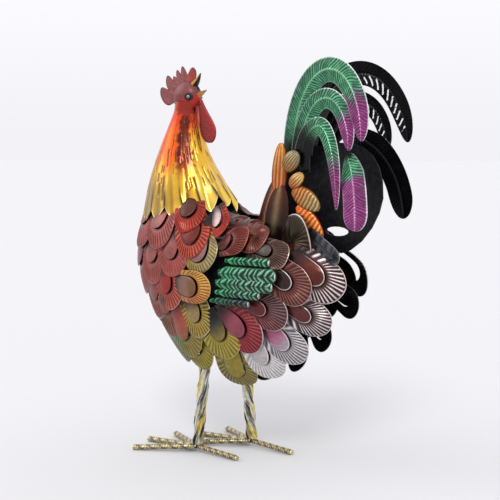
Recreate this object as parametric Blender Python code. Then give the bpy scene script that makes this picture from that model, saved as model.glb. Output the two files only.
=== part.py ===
"""A standing rooster made of stamped and painted sheet metal, with twisted bar legs. Lengths are in metres."""

import math

import bmesh
import bpy
from mathutils import Vector

# Body: the smooth form that the feathers lie on
BODY_CENTRE_X = -0.070
BODY_CENTRE_Z = 0.235
CHEST_REACH = 0.135
RUMP_REACH = 0.189
BELLY_DROP = 0.147
BACK_RISE = 0.060
SHOULDER_RISE = 0.092
FLANK_HALF_WIDTH = 0.057
SHOULDER_START_X = -0.050
SHOULDER_BLEND = 0.060
SIDE_FULLNESS = 2.4
EDGE_FULLNESS = 2.2
SHOULDER_FULLNESS = 3.2
BREAST_FULLNESS = 1.5

# Shell under the feathers
SHELL_INSET = 0.003
SHELL_BELLY_DROP = 0.128
SHELL_RUMP_REACH = 0.130
SHELL_RINGS = 9
SHELL_SPOKES = 24

# Feather plates
SHEET = 0.0016
FEATHER_WIDTH = 0.047
BREAST_LIFT = 0.0034
INNER_SKIRT_LIFT = 0.0046
OUTER_SKIRT_LIFT = 0.0022
FEATHER_PUFF = 0.0016
ROOT_GAP = 0.0008
SCALLOP_DEPTH = 0.42
SEAM_GAP = 0.0004

# Breast rows: how high the tips hang at the breastbone and at the flank
BREAST_LENGTH = 0.050
BREAST_TOP_LENGTH = 0.034
BREAST_ROW_A_FRONT = 0.246
BREAST_ROW_A_FLANK = 0.276
BREAST_ROW_B_FRONT = 0.186
BREAST_ROW_B_FLANK = 0.244
BREAST_ROW_C_FRONT = 0.152
BREAST_ROW_C_FLANK = 0.182
BREAST_ROW_D_FRONT = 0.112
BREAST_ROW_D_FLANK = 0.126

# Skirt feathers: two fans about the shoulder
FAN_CENTRE_X = -0.066
FAN_CENTRE_Z = 0.262
INNER_FAN_START = 0.114
INNER_FAN_END = 0.148
OUTER_FAN_START = 0.147
OUTER_FAN_END = 0.178
FAN_SWELL = 3.5
INNER_FAN_LENGTH = 0.062
OUTER_FAN_LENGTH = 0.066

# Back row, between the wing and the tail
BACK_ROW_LENGTH = 0.036

# Wing
WING_OFFSET = 0.0090
WING_BAR_THICKNESS = 0.0030
WING_COVERT_OFFSET = 0.0125
WING_COVERT_LENGTH = 0.050
WING_BAR_LENGTH = 0.086
WING_BARS = 5
WING_TOP_Z = 0.246
WING_BOTTOM_Z = 0.193
WING_TIP_X = 0.044
WING_STAGGER = 0.034

# How far each row stands off the body's form before its own flare
INNER_SKIRT_GAP = 0.0026
BREAST_ROW_D_GAP = 0.0026
BREAST_ROW_BC_GAP = 0.0015
BREAST_ROW_A_GAP = 0.0030
BACK_ROW_GAP = 0.0054
BACK_ROW_LIFT = 0.0040
WING_COVERT_LIFT = 0.0030
WING_BAR_LIFT = 0.0050
BACK_ROW_LOW_X = 0.052
BACK_ROW_LOW_Z = 0.257
BACK_ROW_HIGH_X = 0.022
BACK_ROW_HIGH_Z = 0.268
WING_COVERT_LOW_X = -0.050
WING_COVERT_LOW_Z = 0.207
WING_COVERT_HIGH_X = -0.006
WING_COVERT_HIGH_Z = 0.264

# Neck
NECK_TOP_Z = 0.430
NECK_TOP_X = -0.1415
NECK_TOP_RADIUS = 0.0165
HEM_Z = 0.309
HEM_X = -0.137
HEM_HALF_LENGTH = 0.068
HEM_HALF_WIDTH = 0.050
NECK_SWAY = 0.009
NECK_FLARE = 1.18
HACKLE_POINTS = 16
HACKLE_DROP = 0.013
HEM_TILT = 0.008
NECK_SEAT_GAP = 0.0080

# Head
HEAD_X = -0.140
HEAD_Z = 0.447
HEAD_RADIUS = 0.0205
HEAD_HALF_WIDTH = 0.0145
FIT_GAP = 0.0003
COMB_THICKNESS = 0.0034
COMB_ROOT = 0.0209
COMB_LOBES = ((80, 0.0385), (103, 0.0400), (122, 0.0365), (141, 0.0430), (165, 0.0470), (190, 0.0390))
COMB_VALLEY = 0.0320
COMB_LOBE_SPREAD = 7.5
UPPER_BEAK_ANGLE = 50.0
UPPER_BEAK_REACH = 0.0375
UPPER_BEAK_RADIUS = 0.0062
LOWER_BEAK_ANGLE = 9.0
LOWER_BEAK_REACH = 0.0330
LOWER_BEAK_RADIUS = 0.0046
BEAK_SEAT = 0.0216
WATTLE_TOP_X = -0.1190
WATTLE_TOP_Z = 0.4420
WATTLE_BOTTOM_X = -0.1010
WATTLE_BOTTOM_Z = 0.3890
WATTLE_HALF_WIDTH = 0.0125
WATTLE_THICKNESS = 0.0036
EYE_RADIUS = 0.0032
EYE_FORWARD = 0.0115

# Tail base and the plate behind it
TAIL_BASE_FOOT_X = -0.013
TAIL_BASE_CREST_X = 0.010
TAIL_BASE_BACK_X = 0.033
TAIL_BASE_TOP_Z = 0.384
TAIL_BASE_FOOT_WIDTH = 0.012
TAIL_BASE_CREST_WIDTH = 0.013
TAIL_PLATE_THICKNESS = 0.0018
TAIL_PLATE_TOP_Z = 0.388
TAIL_PLATE_BACK_X = 0.149
TAIL_PLATE_LOW_Z = 0.259
TAIL_PLATE_NECK_X = 0.060
TAIL_PLATE_NECK_Z = 0.278
TAIL_PLATE_FOOT_X = 0.052
TAIL_PLATE_SEAT = 0.0020
TAIL_PLATE_GAP_X = 0.088
TAIL_PLATE_GAP_Z = 0.2845
TAIL_PLATE_GAP_LENGTH = 0.032
TAIL_PLATE_GAP_HEIGHT = 0.011

# Sickle feathers
SICKLE_THICKNESS = 0.0018
SICKLE_RIB = 0.0014
SICKLE_STEPS = 10
SICKLE_SPLAY = 1.6

# Each sickle: its left side, crest and tip seen from the side, how far it starts round, and how it leans out
SICKLE_A_LEFT_X = 0.033
SICKLE_A_LEFT_Z = 0.35
SICKLE_A_CREST_X = 0.097
SICKLE_A_CREST_Z = 0.469
SICKLE_A_TIP_X = 0.148
SICKLE_A_TIP_Z = 0.388
SICKLE_A_BEGIN = 0.12
SICKLE_A_ROOT_Y = 0.0095
SICKLE_A_TIP_Y = 0.047
RIGHT_SICKLE_A_TIP_Y = 0.057
RIGHT_SICKLE_A_SPLAY = 1.0
SICKLE_A_ROOT_WIDTH = 0.032
SICKLE_A_TIP_WIDTH = 0.024
SICKLE_B_LEFT_X = 0.047
SICKLE_B_LEFT_Z = 0.345
SICKLE_B_CREST_X = 0.093
SICKLE_B_CREST_Z = 0.437
SICKLE_B_TIP_X = 0.129
SICKLE_B_TIP_Z = 0.378
SICKLE_B_BEGIN = 0.26
SICKLE_B_ROOT_Y = 0.0158
SICKLE_B_TIP_Y = 0.042
SICKLE_B_ROOT_WIDTH = 0.028
SICKLE_B_TIP_WIDTH = 0.018
SICKLE_C_LEFT_X = 0.051
SICKLE_C_LEFT_Z = 0.352
SICKLE_C_CREST_X = 0.083
SICKLE_C_CREST_Z = 0.406
SICKLE_C_TIP_X = 0.112
SICKLE_C_TIP_Z = 0.312
SICKLE_C_BEGIN = 0.36
SICKLE_C_ROOT_Y = 0.0205
SICKLE_C_TIP_Y = 0.04
SICKLE_C_ROOT_WIDTH = 0.026
SICKLE_C_TIP_WIDTH = 0.014
SICKLE_D_LEFT_X = 0.052
SICKLE_D_LEFT_Z = 0.345
SICKLE_D_CREST_X = 0.08
SICKLE_D_CREST_Z = 0.396
SICKLE_D_TIP_X = 0.14
SICKLE_D_TIP_Z = 0.289
SICKLE_D_BEGIN = 1.42
SICKLE_D_ROOT_Y = 0.024
SICKLE_D_TIP_Y = 0.045
SICKLE_D_ROOT_WIDTH = 0.031
SICKLE_D_TIP_WIDTH = 0.031
RIGHT_SICKLE_D_LEFT_X = 0.052
RIGHT_SICKLE_D_LEFT_Z = 0.345
RIGHT_SICKLE_D_CREST_X = 0.086
RIGHT_SICKLE_D_CREST_Z = 0.397
RIGHT_SICKLE_D_TIP_X = 0.149
RIGHT_SICKLE_D_TIP_Z = 0.299
RIGHT_SICKLE_D_BEGIN = 1.02
RIGHT_SICKLE_D_ROOT_Y = 0.017
RIGHT_SICKLE_D_TIP_Y = 0.046
RIGHT_SICKLE_D_ROOT_WIDTH = 0.034
RIGHT_SICKLE_D_TIP_WIDTH = 0.03

# Coverts at the foot of the tail
COVERT_HALF_THICKNESS = 0.0022
# Each leaf: its root and tip seen from the side, its half width and how far it stands from the middle plane
FOOT_LEAF_ROOT_X = 0.001
FOOT_LEAF_ROOT_Z = 0.3
FOOT_LEAF_TIP_X = 0.019
FOOT_LEAF_TIP_Z = 0.336
FOOT_LEAF_HALF_WIDTH = 0.0125
FOOT_LEAF_Y = 0.017
UP_LEAF_ROOT_X = 0.019
UP_LEAF_ROOT_Z = 0.33
UP_LEAF_TIP_X = 0.021
UP_LEAF_TIP_Z = 0.388
UP_LEAF_HALF_WIDTH = 0.008
UP_LEAF_Y = 0.0172
HIGH_LEAF_ROOT_X = 0.02
HIGH_LEAF_ROOT_Z = 0.35
HIGH_LEAF_TIP_X = 0.052
HIGH_LEAF_TIP_Z = 0.372
HIGH_LEAF_HALF_WIDTH = 0.01
HIGH_LEAF_Y = 0.0188
MIDDLE_LEAF_ROOT_X = 0.018
MIDDLE_LEAF_ROOT_Z = 0.338
MIDDLE_LEAF_TIP_X = 0.059
MIDDLE_LEAF_TIP_Z = 0.351
MIDDLE_LEAF_HALF_WIDTH = 0.007
MIDDLE_LEAF_Y = 0.0187
LOW_LEAF_ROOT_X = 0.014
LOW_LEAF_ROOT_Z = 0.328
LOW_LEAF_TIP_X = 0.082
LOW_LEAF_TIP_Z = 0.318
LOW_LEAF_HALF_WIDTH = 0.0125
LOW_LEAF_Y = 0.019
END_LEAF_ROOT_X = 0.05
END_LEAF_ROOT_Z = 0.324
END_LEAF_TIP_X = 0.088
END_LEAF_TIP_Z = 0.286
END_LEAF_HALF_WIDTH = 0.011
END_LEAF_Y = 0.0194

# Legs and toes
GROUND_Z = -0.0055
LEG_WIDTH = 0.0115
LEG_TWIST_TURNS = 0.9
LEG_STEPS = 12
LEG_TOP_Y = 0.023
LEFT_LEG_TOP_X = -0.091
RIGHT_LEG_TOP_X = -0.066
FOOT_Y = 0.031
LEFT_FOOT_X = -0.100
RIGHT_FOOT_X = -0.060
TOE_THICKNESS = 0.0078
TOE_RISE = 0.0045
TOE_START = 0.0072
FRONT_TOE_LENGTH = 0.085
INNER_TOE_CLEARANCE = 0.0018
REAR_TOE_LENGTH = 0.064
TOE_SPREAD = 29.5
TOE_PAD_LENGTH = 0.018

# Paints
PAINTS = {
    "dark": ((0.020, 0.020, 0.022, 1.0), 0.9, 0.35),
    "hackle": ((0.85, 0.42, 0.06, 1.0), 0.9, 0.22),
    "comb": ((0.30, 0.05, 0.04, 1.0), 0.4, 0.45),
    "beak": ((0.72, 0.42, 0.08, 1.0), 0.5, 0.40),
    "eye": ((0.70, 0.70, 0.72, 1.0), 1.0, 0.15),
    "red": ((0.48, 0.07, 0.04, 1.0), 0.8, 0.30),
    "crimson": ((0.36, 0.07, 0.08, 1.0), 0.8, 0.32),
    "olive": ((0.50, 0.42, 0.10, 1.0), 0.8, 0.32),
    "brown": ((0.24, 0.09, 0.06, 1.0), 0.8, 0.32),
    "gold": ((0.80, 0.42, 0.08, 1.0), 0.8, 0.28),
    "green": ((0.06, 0.42, 0.18, 1.0), 0.8, 0.28),
    "bar": ((0.42, 0.36, 0.20, 1.0), 0.9, 0.30),
}


def start_scene():
    for thing in list(bpy.data.objects):
        bpy.data.objects.remove(thing, do_unlink=True)


def paint(name):
    colour, metallic, roughness = PAINTS[name]
    material = bpy.data.materials.new(name)
    material.use_nodes = True
    shader = material.node_tree.nodes["Principled BSDF"]
    shader.inputs["Base Color"].default_value = colour
    shader.inputs["Metallic"].default_value = metallic
    shader.inputs["Roughness"].default_value = roughness
    return material


def make_object(name, points, faces, paint_name, smooth_angle=None):
    """One closed mesh from points and faces, with every face turned outwards."""
    mesh = bpy.data.meshes.new(name)
    mesh.from_pydata([tuple(p) for p in points], [], faces)
    shape = bmesh.new()
    shape.from_mesh(mesh)
    bmesh.ops.remove_doubles(shape, verts=shape.verts, dist=1e-6)
    bmesh.ops.recalc_face_normals(shape, faces=shape.faces)
    bmesh.ops.triangulate(shape, faces=shape.faces)
    shape.to_mesh(mesh)
    shape.free()
    mesh.materials.append(paint(paint_name))
    thing = bpy.data.objects.new(name, mesh)
    bpy.context.scene.collection.objects.link(thing)
    if smooth_angle:
        mesh.shade_smooth()
        mesh.set_sharp_from_angle(angle=math.radians(smooth_angle))
    return thing


def loft(rings):
    """Faces of a closed tube through rings of equal length, each end closed by one face."""
    count = len(rings[0])
    points = [p for ring in rings for p in ring]
    faces = []
    for i in range(len(rings) - 1):
        for j in range(count):
            k = (j + 1) % count
            faces.append((i * count + j, i * count + k, (i + 1) * count + k, (i + 1) * count + j))
    faces.append(tuple(range(count)))
    faces.append(tuple((len(rings) - 1) * count + j for j in range(count)))
    return points, faces


def smooth_step(value):
    value = min(1.0, max(0.0, value))
    return value * value * (3.0 - 2.0 * value)


def mix(a, b, share):
    return a + (b - a) * share


# The body's form


def outline_share(x, z, inset=0.0, belly=BELLY_DROP, rump=RUMP_REACH):
    """0 at the body's centre and 1 on its outline, seen from the side."""
    dx = x - BODY_CENTRE_X
    dz = z - BODY_CENTRE_Z
    along = (CHEST_REACH if dx < 0 else rump) - inset
    if dz < 0:
        power = BREAST_FULLNESS if dx < 0 else 2.0
        return (abs(dx / along) ** power + abs(dz / (belly - inset)) ** power) ** (1.0 / power)
    shoulder = smooth_step((SHOULDER_START_X - x) / SHOULDER_BLEND)
    rise = mix(BACK_RISE, SHOULDER_RISE, shoulder) - inset
    power = mix(2.0, SHOULDER_FULLNESS, shoulder)
    return (abs(dx / along) ** power + (dz / rise) ** power) ** (1.0 / power)


def body_value(p, inset=0.0, belly=BELLY_DROP, rump=RUMP_REACH):
    """Below 0 inside the body and above 0 outside it."""
    share = outline_share(p.x, p.z, inset, belly, rump)
    return share**SIDE_FULLNESS + abs(p.y / (FLANK_HALF_WIDTH - inset)) ** EDGE_FULLNESS - 1.0


def body_normal(p):
    step = 0.0005
    slope = [
        body_value(p + step * axis) - body_value(p - step * axis)
        for axis in (Vector((1, 0, 0)), Vector((0, 1, 0)), Vector((0, 0, 1)))
    ]
    return Vector(slope).normalized()


def onto_body(p):
    """The point of the body's form near p, reached along the form's own slope."""
    step = 0.0005
    for _ in range(6):
        normal = body_normal(p)
        value = body_value(p)
        slope = (body_value(p + step * normal) - body_value(p - step * normal)) / (2 * step)
        if abs(slope) < 1e-6:
            break
        move = max(-0.02, min(0.02, value / slope))
        p = p - move * normal
    return p


def flank_point(x, z, side):
    """The point of the body's form that shows at (x, z) from the given side."""
    share = min(0.999, outline_share(x, z))
    width = (1.0 - share**SIDE_FULLNESS) ** (1.0 / EDGE_FULLNESS)
    return onto_body(Vector((x, side * FLANK_HALF_WIDTH * width, z)))


def girth_point(distance, z, side):
    """The point at height z, the given distance round from the breastbone."""
    gone = 0.0
    last = None
    for i in range(240):
        turn = math.radians(90.0 + 60.0) * i / 239
        ray = Vector((-math.cos(turn), side * math.sin(turn), 0.0))
        low, high = 0.0, 0.25
        for _ in range(24):
            middle = 0.5 * (low + high)
            inside = body_value(Vector((BODY_CENTRE_X, 0.0, z)) + middle * ray) < 0
            low, high = (middle, high) if inside else (low, middle)
        here = Vector((BODY_CENTRE_X, 0.0, z)) + low * ray
        if last is not None:
            gone += (here - last).length
        last = here
        if gone >= distance:
            break
    return last


def walk(start, heading, distance):
    """Moves over the body's form from start, and returns where that ends."""
    here = start.copy()
    steps = max(1, math.ceil(abs(distance) / 0.012))
    for _ in range(steps):
        normal = body_normal(here)
        along = (heading - heading.dot(normal) * normal).normalized()
        here = onto_body(here + along * (distance / steps))
    return here


def heading_at(degrees):
    turn = math.radians(degrees)
    return Vector((math.cos(turn), 0.0, math.sin(turn)))


def shell_point(turn, lean, inset):
    """A point of the shell under the feathers, by its turn about the flank's middle and its lean to the side."""
    reach = math.sin(lean)
    low, high = 0.0, 0.30
    ray = Vector((math.cos(turn) * reach, math.cos(lean) * 0.42, math.sin(turn) * reach))
    centre = Vector((BODY_CENTRE_X, 0.0, BODY_CENTRE_Z))
    for _ in range(30):
        middle = 0.5 * (low + high)
        value = body_value(centre + middle * ray, inset, SHELL_BELLY_DROP, SHELL_RUMP_REACH)
        low, high = (middle, high) if value < 0 else (low, middle)
    return centre + low * ray


def build_shell():
    rings = []
    for i in range(1, SHELL_RINGS):
        lean = math.pi * i / SHELL_RINGS
        spokes = [2 * math.pi * j / SHELL_SPOKES for j in range(SHELL_SPOKES)]
        rings.append([shell_point(turn, lean, SHELL_INSET) for turn in spokes])
    points, faces = loft(rings)
    make_object("body_shell", points, faces, "dark", 60)


def shell_height(x, y, upwards):
    """Height of the shell's top or underside above the ground at (x, y)."""
    low, high = 0.0, 0.16
    for _ in range(30):
        middle = 0.5 * (low + high)
        z = BODY_CENTRE_Z + (middle if upwards else -middle)
        value = body_value(Vector((x, y, z)), SHELL_INSET, SHELL_BELLY_DROP, SHELL_RUMP_REACH)
        low, high = (middle, high) if value < 0 else (low, middle)
    return BODY_CENTRE_Z + (low if upwards else -low)


# Feather rows


def scallop(share):
    """Length of a feather at a share of the way across it, 1 at its middle."""
    return 1.0 - SCALLOP_DEPTH * abs(2.0 * share - 1.0) ** 2.4


def feather_row(name, tip_at, angle_at, first, last, length, paint_name, lift=0.0,
                thickness=SHEET, across=4, down=3, depth=1.0, flare=BREAST_LIFT):
    """A row of overlapping feather plates as one scalloped plate that rides on the body's form."""
    steps = round((last - first) * across)
    outer, inner = [], []
    for i in range(steps + 1):
        t = first + i / across
        share = (t + 0.5) % 1.0
        if share > 0.999:
            share = 0.0
        reach = 1.0 - depth * (1.0 - scallop(share))
        puff = FEATHER_PUFF * (1.0 - (2.0 * share - 1.0) ** 2)
        heading = heading_at(angle_at(t))
        root = walk(tip_at(t), heading, -length)
        column_out, column_in = [], []
        for j in range(down + 1):
            v = reach * j / down
            here = walk(root, heading, length * v) if j else root
            normal = body_normal(here)
            height = ROOT_GAP + lift + flare * v + puff * v
            column_in.append(here + normal * height)
            column_out.append(here + normal * (height + thickness))
        outer.append(column_out)
        inner.append(column_in)
    rows = down + 1
    points = [p for column in outer for p in column] + [p for column in inner for p in column]
    start = len(outer) * rows
    faces = []
    for i in range(len(outer) - 1):
        for j in range(down):
            a, b = i * rows + j, (i + 1) * rows + j
            faces.append((a, b, b + 1, a + 1))
            faces.append((start + a, start + a + 1, start + b + 1, start + b))
    for i in range(len(outer) - 1):
        a, b = i * rows, (i + 1) * rows
        faces.append((a, start + a, start + b, b))
        a, b = a + down, b + down
        faces.append((a, b, start + b, start + a))
    for j in range(down):
        a = j
        faces.append((a, a + 1, start + a + 1, start + a))
        a = (len(outer) - 1) * rows + j
        faces.append((a, start + a, start + a + 1, a + 1))
    return make_object(name, points, faces, paint_name, 35)


def side_name(side):
    return "left" if side < 0 else "right"


def breast_row(name, side, front_z, flank_z, first_place, count, paint_name, angles, lift,
               length=BREAST_LENGTH):
    """Tips set round the breast at one feather's width apart, lower in front than at the flank."""
    last_place = first_place + count - 1
    whole = max(1e-6, last_place)
    begin = -0.5 if first_place > 0.01 else 0.0

    def tip_at(t):
        place = first_place + t
        distance = max(SEAM_GAP, place * FEATHER_WIDTH)
        height = mix(front_z, flank_z, max(0.0, place) / whole)
        return girth_point(distance, height, side)

    def angle_at(t):
        return mix(angles[0], angles[1], max(0.0, first_place + t) / whole)

    return feather_row(f"{name}_{side_name(side)}", tip_at, angle_at, begin, count - 0.5,
                       length, paint_name, lift)


def fan_row(name, side, start_angle, end_angle, start_reach, end_reach, count, length, paint_name,
            lift, flare, swell):
    """Tips set on an arc about the shoulder."""

    def angle_at(t):
        return mix(start_angle, end_angle, t / (count - 1))

    def tip_at(t):
        turn = math.radians(angle_at(t))
        left = max(0.0, 1.0 - t / (count - 1))
        reach = mix(end_reach, start_reach, left**swell)
        x = FAN_CENTRE_X + reach * math.cos(turn)
        z = FAN_CENTRE_Z + reach * math.sin(turn)
        return flank_point(x, z, side)

    return feather_row(f"{name}_{side_name(side)}", tip_at, angle_at, -0.5, count - 0.5,
                       length, paint_name, lift, flare=flare)


def straight_row(name, side, start, end, angles, count, length, paint_name, lift, **more):
    """Tips set on a straight line seen from the side."""

    def tip_at(t):
        share = t / max(1, count - 1)
        return flank_point(mix(start[0], end[0], share), mix(start[1], end[1], share), side)

    def angle_at(t):
        return mix(angles[0], angles[1], t / max(1, count - 1))

    return feather_row(f"{name}_{side_name(side)}", tip_at, angle_at, -0.5, count - 0.5,
                       length, paint_name, lift, **more)


def wing_bars(side):
    """The long flight feathers of the wing, the lower ones shorter than the upper."""

    def tip_at(t):
        share = t / (WING_BARS - 1)
        x = WING_TIP_X - WING_STAGGER * max(0.0, 1.0 - share / 0.75) ** 2
        return flank_point(x, mix(WING_BOTTOM_Z, WING_TOP_Z, share), side)

    return feather_row(f"wing_bars_{side_name(side)}", tip_at, lambda t: 0.0, -0.5,
                       WING_BARS - 0.5, WING_BAR_LENGTH, "green", WING_OFFSET,
                       WING_BAR_THICKNESS, depth=0.30, flare=WING_BAR_LIFT)


def build_feathers(side):
    fan_row("skirt_outer", side, 268, 347, OUTER_FAN_START, OUTER_FAN_END, 6, OUTER_FAN_LENGTH,
            "olive", 0.0, OUTER_SKIRT_LIFT, FAN_SWELL)
    breast_row("breast_row_4", side, BREAST_ROW_D_FRONT, BREAST_ROW_D_FLANK, 0.5, 3, "olive",
               (268, 282), BREAST_ROW_D_GAP)
    fan_row("skirt_inner", side, 260, 356, INNER_FAN_START, INNER_FAN_END, 6, INNER_FAN_LENGTH,
            "crimson", INNER_SKIRT_GAP, INNER_SKIRT_LIFT, 1.0)
    breast_row("breast_row_3", side, BREAST_ROW_C_FRONT, BREAST_ROW_C_FLANK, 0.0, 3, "red",
               (268, 276), BREAST_ROW_BC_GAP)
    breast_row("breast_row_2", side, BREAST_ROW_B_FRONT, BREAST_ROW_B_FLANK, 0.5, 4, "red",
               (267, 278), BREAST_ROW_BC_GAP)
    breast_row("breast_row_1", side, BREAST_ROW_A_FRONT, BREAST_ROW_A_FLANK, 0.0, 5, "red",
               (267, 302), BREAST_ROW_A_GAP, BREAST_TOP_LENGTH)
    straight_row("back_row", side, (BACK_ROW_LOW_X, BACK_ROW_LOW_Z), (BACK_ROW_HIGH_X, BACK_ROW_HIGH_Z),
                 (350, 352), 2, BACK_ROW_LENGTH, "brown", BACK_ROW_GAP, flare=BACK_ROW_LIFT)
    wing_bars(side)
    straight_row("wing_coverts", side, (WING_COVERT_LOW_X, WING_COVERT_LOW_Z),
                 (WING_COVERT_HIGH_X, WING_COVERT_HIGH_Z), (358, 350), 3, WING_COVERT_LENGTH, "gold",
                 WING_COVERT_OFFSET, flare=WING_COVERT_LIFT)


# Neck and head


def neck_ring(share):
    """Centre and half axes of the neck at a share of the way from its top to its hem."""
    z = mix(NECK_TOP_Z, HEM_Z, share)
    x = mix(NECK_TOP_X, HEM_X, share) - NECK_SWAY * math.sin(math.pi * share)
    spread = share**NECK_FLARE
    return x, z, mix(NECK_TOP_RADIUS, HEM_HALF_LENGTH, spread), mix(NECK_TOP_RADIUS, HEM_HALF_WIDTH, spread)


def build_neck():
    count = 2 * HACKLE_POINTS
    rings = []
    for share in (0.0, 0.2, 0.45, 0.72, 1.0):
        x, z, half_length, half_width = neck_ring(share)
        ring = []
        for j in range(count):
            turn = 2 * math.pi * j / count
            tilt = HEM_TILT * math.cos(turn) * share
            ring.append(Vector((x + half_length * math.cos(turn), half_width * math.sin(turn), z + tilt)))
        rings.append(ring)
    x, z, half_length, half_width = neck_ring(1.0)
    points_ring, inner_ring = [], []
    for j in range(count):
        turn = 2 * math.pi * j / count
        drop = HACKLE_DROP if j % 2 else 0.0005
        tilt = HEM_TILT * math.cos(turn)
        spread = 1.0 + (0.035 if j % 2 else 0.0)
        points_ring.append(Vector((x + half_length * spread * math.cos(turn),
                                   half_width * spread * math.sin(turn), z + tilt - drop)))
        spread -= 0.045
        inner_ring.append(Vector((x + half_length * spread * math.cos(turn),
                                  half_width * spread * math.sin(turn), z + tilt - drop + 0.0005)))
    rings += [points_ring, inner_ring]
    for share in (0.90, 0.45):
        ring = []
        for j in range(count):
            turn = 2 * math.pi * j / count
            px = x + half_length * share * math.cos(turn)
            py = half_width * share * math.sin(turn)
            tilt = HEM_TILT * math.cos(turn)
            ring.append(Vector((px, py, max(z + tilt, shell_height(px, py, True) + NECK_SEAT_GAP))))
        rings.append(ring)
    points, faces = loft(rings)
    make_object("neck_hackle", points, faces, "hackle", 40)


def head_point(angle, reach, across=0.0):
    """A point by its angle up from straight ahead and its reach from the middle of the head."""
    turn = math.radians(angle)
    return Vector((HEAD_X + reach * math.cos(turn), across, HEAD_Z + reach * math.sin(turn)))


def flat_plate(name, outline, thickness, paint_name, rim=0.5):
    """A plate in the middle plane, thinner at its rim than at its middle."""
    centre = sum(outline, Vector()) / len(outline)
    inset = [p.lerp(centre, 0.25) for p in outline]
    rings = []
    for ring, half in ((inset, -thickness / 2), (outline, -thickness * rim / 2),
                       (outline, thickness * rim / 2), (inset, thickness / 2)):
        rings.append([p + Vector((0.0, half, 0.0)) for p in ring])
    points, faces = loft(rings)
    return make_object(name, points, faces, paint_name, 30)


def build_head():
    """A round head that is cut level where it sits on the neck."""
    rings = []
    for i in range(8):
        lean = math.pi * (i + 0.7) / 8.4
        ring = []
        for j in range(14):
            turn = 2 * math.pi * j / 14
            reach = HEAD_RADIUS * math.sin(lean)
            ring.append(Vector((HEAD_X + reach * math.cos(turn), HEAD_HALF_WIDTH * math.cos(lean),
                                HEAD_Z + reach * math.sin(turn))))
        rings.append(ring)
    floor = NECK_TOP_Z + FIT_GAP
    for ring in rings:
        for p in ring:
            p.z = max(p.z, floor)
    points, faces = loft(rings)
    make_object("head", points, faces, "comb", 60)


def build_comb():
    crown = []
    for index, (angle, reach) in enumerate(COMB_LOBES):
        if index:
            halfway = 0.5 * (angle + COMB_LOBES[index - 1][0])
            crown.append(head_point(halfway, COMB_VALLEY))
        crown.append(head_point(angle - COMB_LOBE_SPREAD, 0.94 * reach))
        crown.append(head_point(angle + 0.3 * COMB_LOBE_SPREAD, reach))
        crown.append(head_point(angle + COMB_LOBE_SPREAD, 0.92 * reach))
    first, last = COMB_LOBES[0][0] - 12, COMB_LOBES[-1][0] + 4
    count = len(crown)
    root = [head_point(mix(first, last, i / (count - 1)), COMB_ROOT) for i in range(count)]
    rings = []
    for ring, half in ((root, -0.5), (crown, -0.3), (crown, 0.3), (root, 0.5)):
        rings.append([p + Vector((0.0, half * COMB_THICKNESS, 0.0)) for p in ring])
    points = [p for ring in rings for p in ring]
    faces = []
    for i in range(4):
        a, b = i * count, ((i + 1) % 4) * count
        for j in range(count - 1):
            faces.append((a + j, a + j + 1, b + j + 1, b + j))
    faces.append((0, count, 2 * count, 3 * count))
    faces.append((count - 1, 2 * count - 1, 3 * count - 1, 4 * count - 1))
    make_object("comb", points, faces, "comb", 30)


def build_beak(name, angle, lean, reach, radius, bend):
    """A short horn from its round root to its tip."""
    root = head_point(angle, BEAK_SEAT)
    tip = head_point(angle + lean, reach)
    axis = (tip - root).normalized()
    upright = Vector((0.0, 1.0, 0.0)).cross(axis)
    rings = []
    for share, size in ((0.0, 1.0), (0.4, 0.78), (0.75, 0.46), (1.0, 0.12)):
        middle = root.lerp(tip, share) + upright * (bend * math.sin(math.pi * share))
        ring = []
        for j in range(8):
            turn = 2 * math.pi * j / 8
            ring.append(middle + Vector((0.0, 0.85 * radius * size * math.cos(turn), 0.0))
                        + upright * (radius * size * math.sin(turn)))
        rings.append(ring)
    points, faces = loft(rings)
    make_object(name, points, faces, "beak", 40)


def build_wattle():
    top = Vector((WATTLE_TOP_X, 0.0, WATTLE_TOP_Z))
    bottom = Vector((WATTLE_BOTTOM_X, 0.0, WATTLE_BOTTOM_Z))
    axis = (bottom - top).normalized()
    out = Vector((-axis.z, 0.0, axis.x))
    outline = []
    steps = 7
    for i in range(2 * steps):
        share = i / steps if i <= steps else 2 - i / steps
        width = WATTLE_HALF_WIDTH * (0.16 + 0.84 * math.sin(math.pi * share**1.5) ** 0.8) if 0 < share < 1 else 0.0
        outline.append(top.lerp(bottom, share) + out * (width if i < steps else -width))
    flat_plate("wattle", outline, WATTLE_THICKNESS, "comb")


def build_eye(side):
    """A flat bead on the side of the head."""
    across = HEAD_HALF_WIDTH * math.sqrt(1.0 - (EYE_FORWARD / HEAD_RADIUS) ** 2)
    seat = Vector((HEAD_X + EYE_FORWARD, side * across, HEAD_Z))
    out = Vector((EYE_FORWARD / HEAD_RADIUS**2, side * across / HEAD_HALF_WIDTH**2, 0.0)).normalized()
    level = Vector((-out.y, out.x, 0.0))
    rings = []
    for height, size in ((0.0004, 0.9), (0.0012, 1.0), (0.0022, 0.75), (0.0027, 0.3)):
        ring = []
        for j in range(10):
            turn = 2 * math.pi * j / 10
            ring.append(seat + out * height + level * (EYE_RADIUS * size * math.cos(turn))
                        + Vector((0.0, 0.0, EYE_RADIUS * size * math.sin(turn))))
        rings.append(ring)
    points, faces = loft(rings)
    make_object(f"eye_{side_name(side)}", points, faces, "eye", 40)


# Tail


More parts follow.
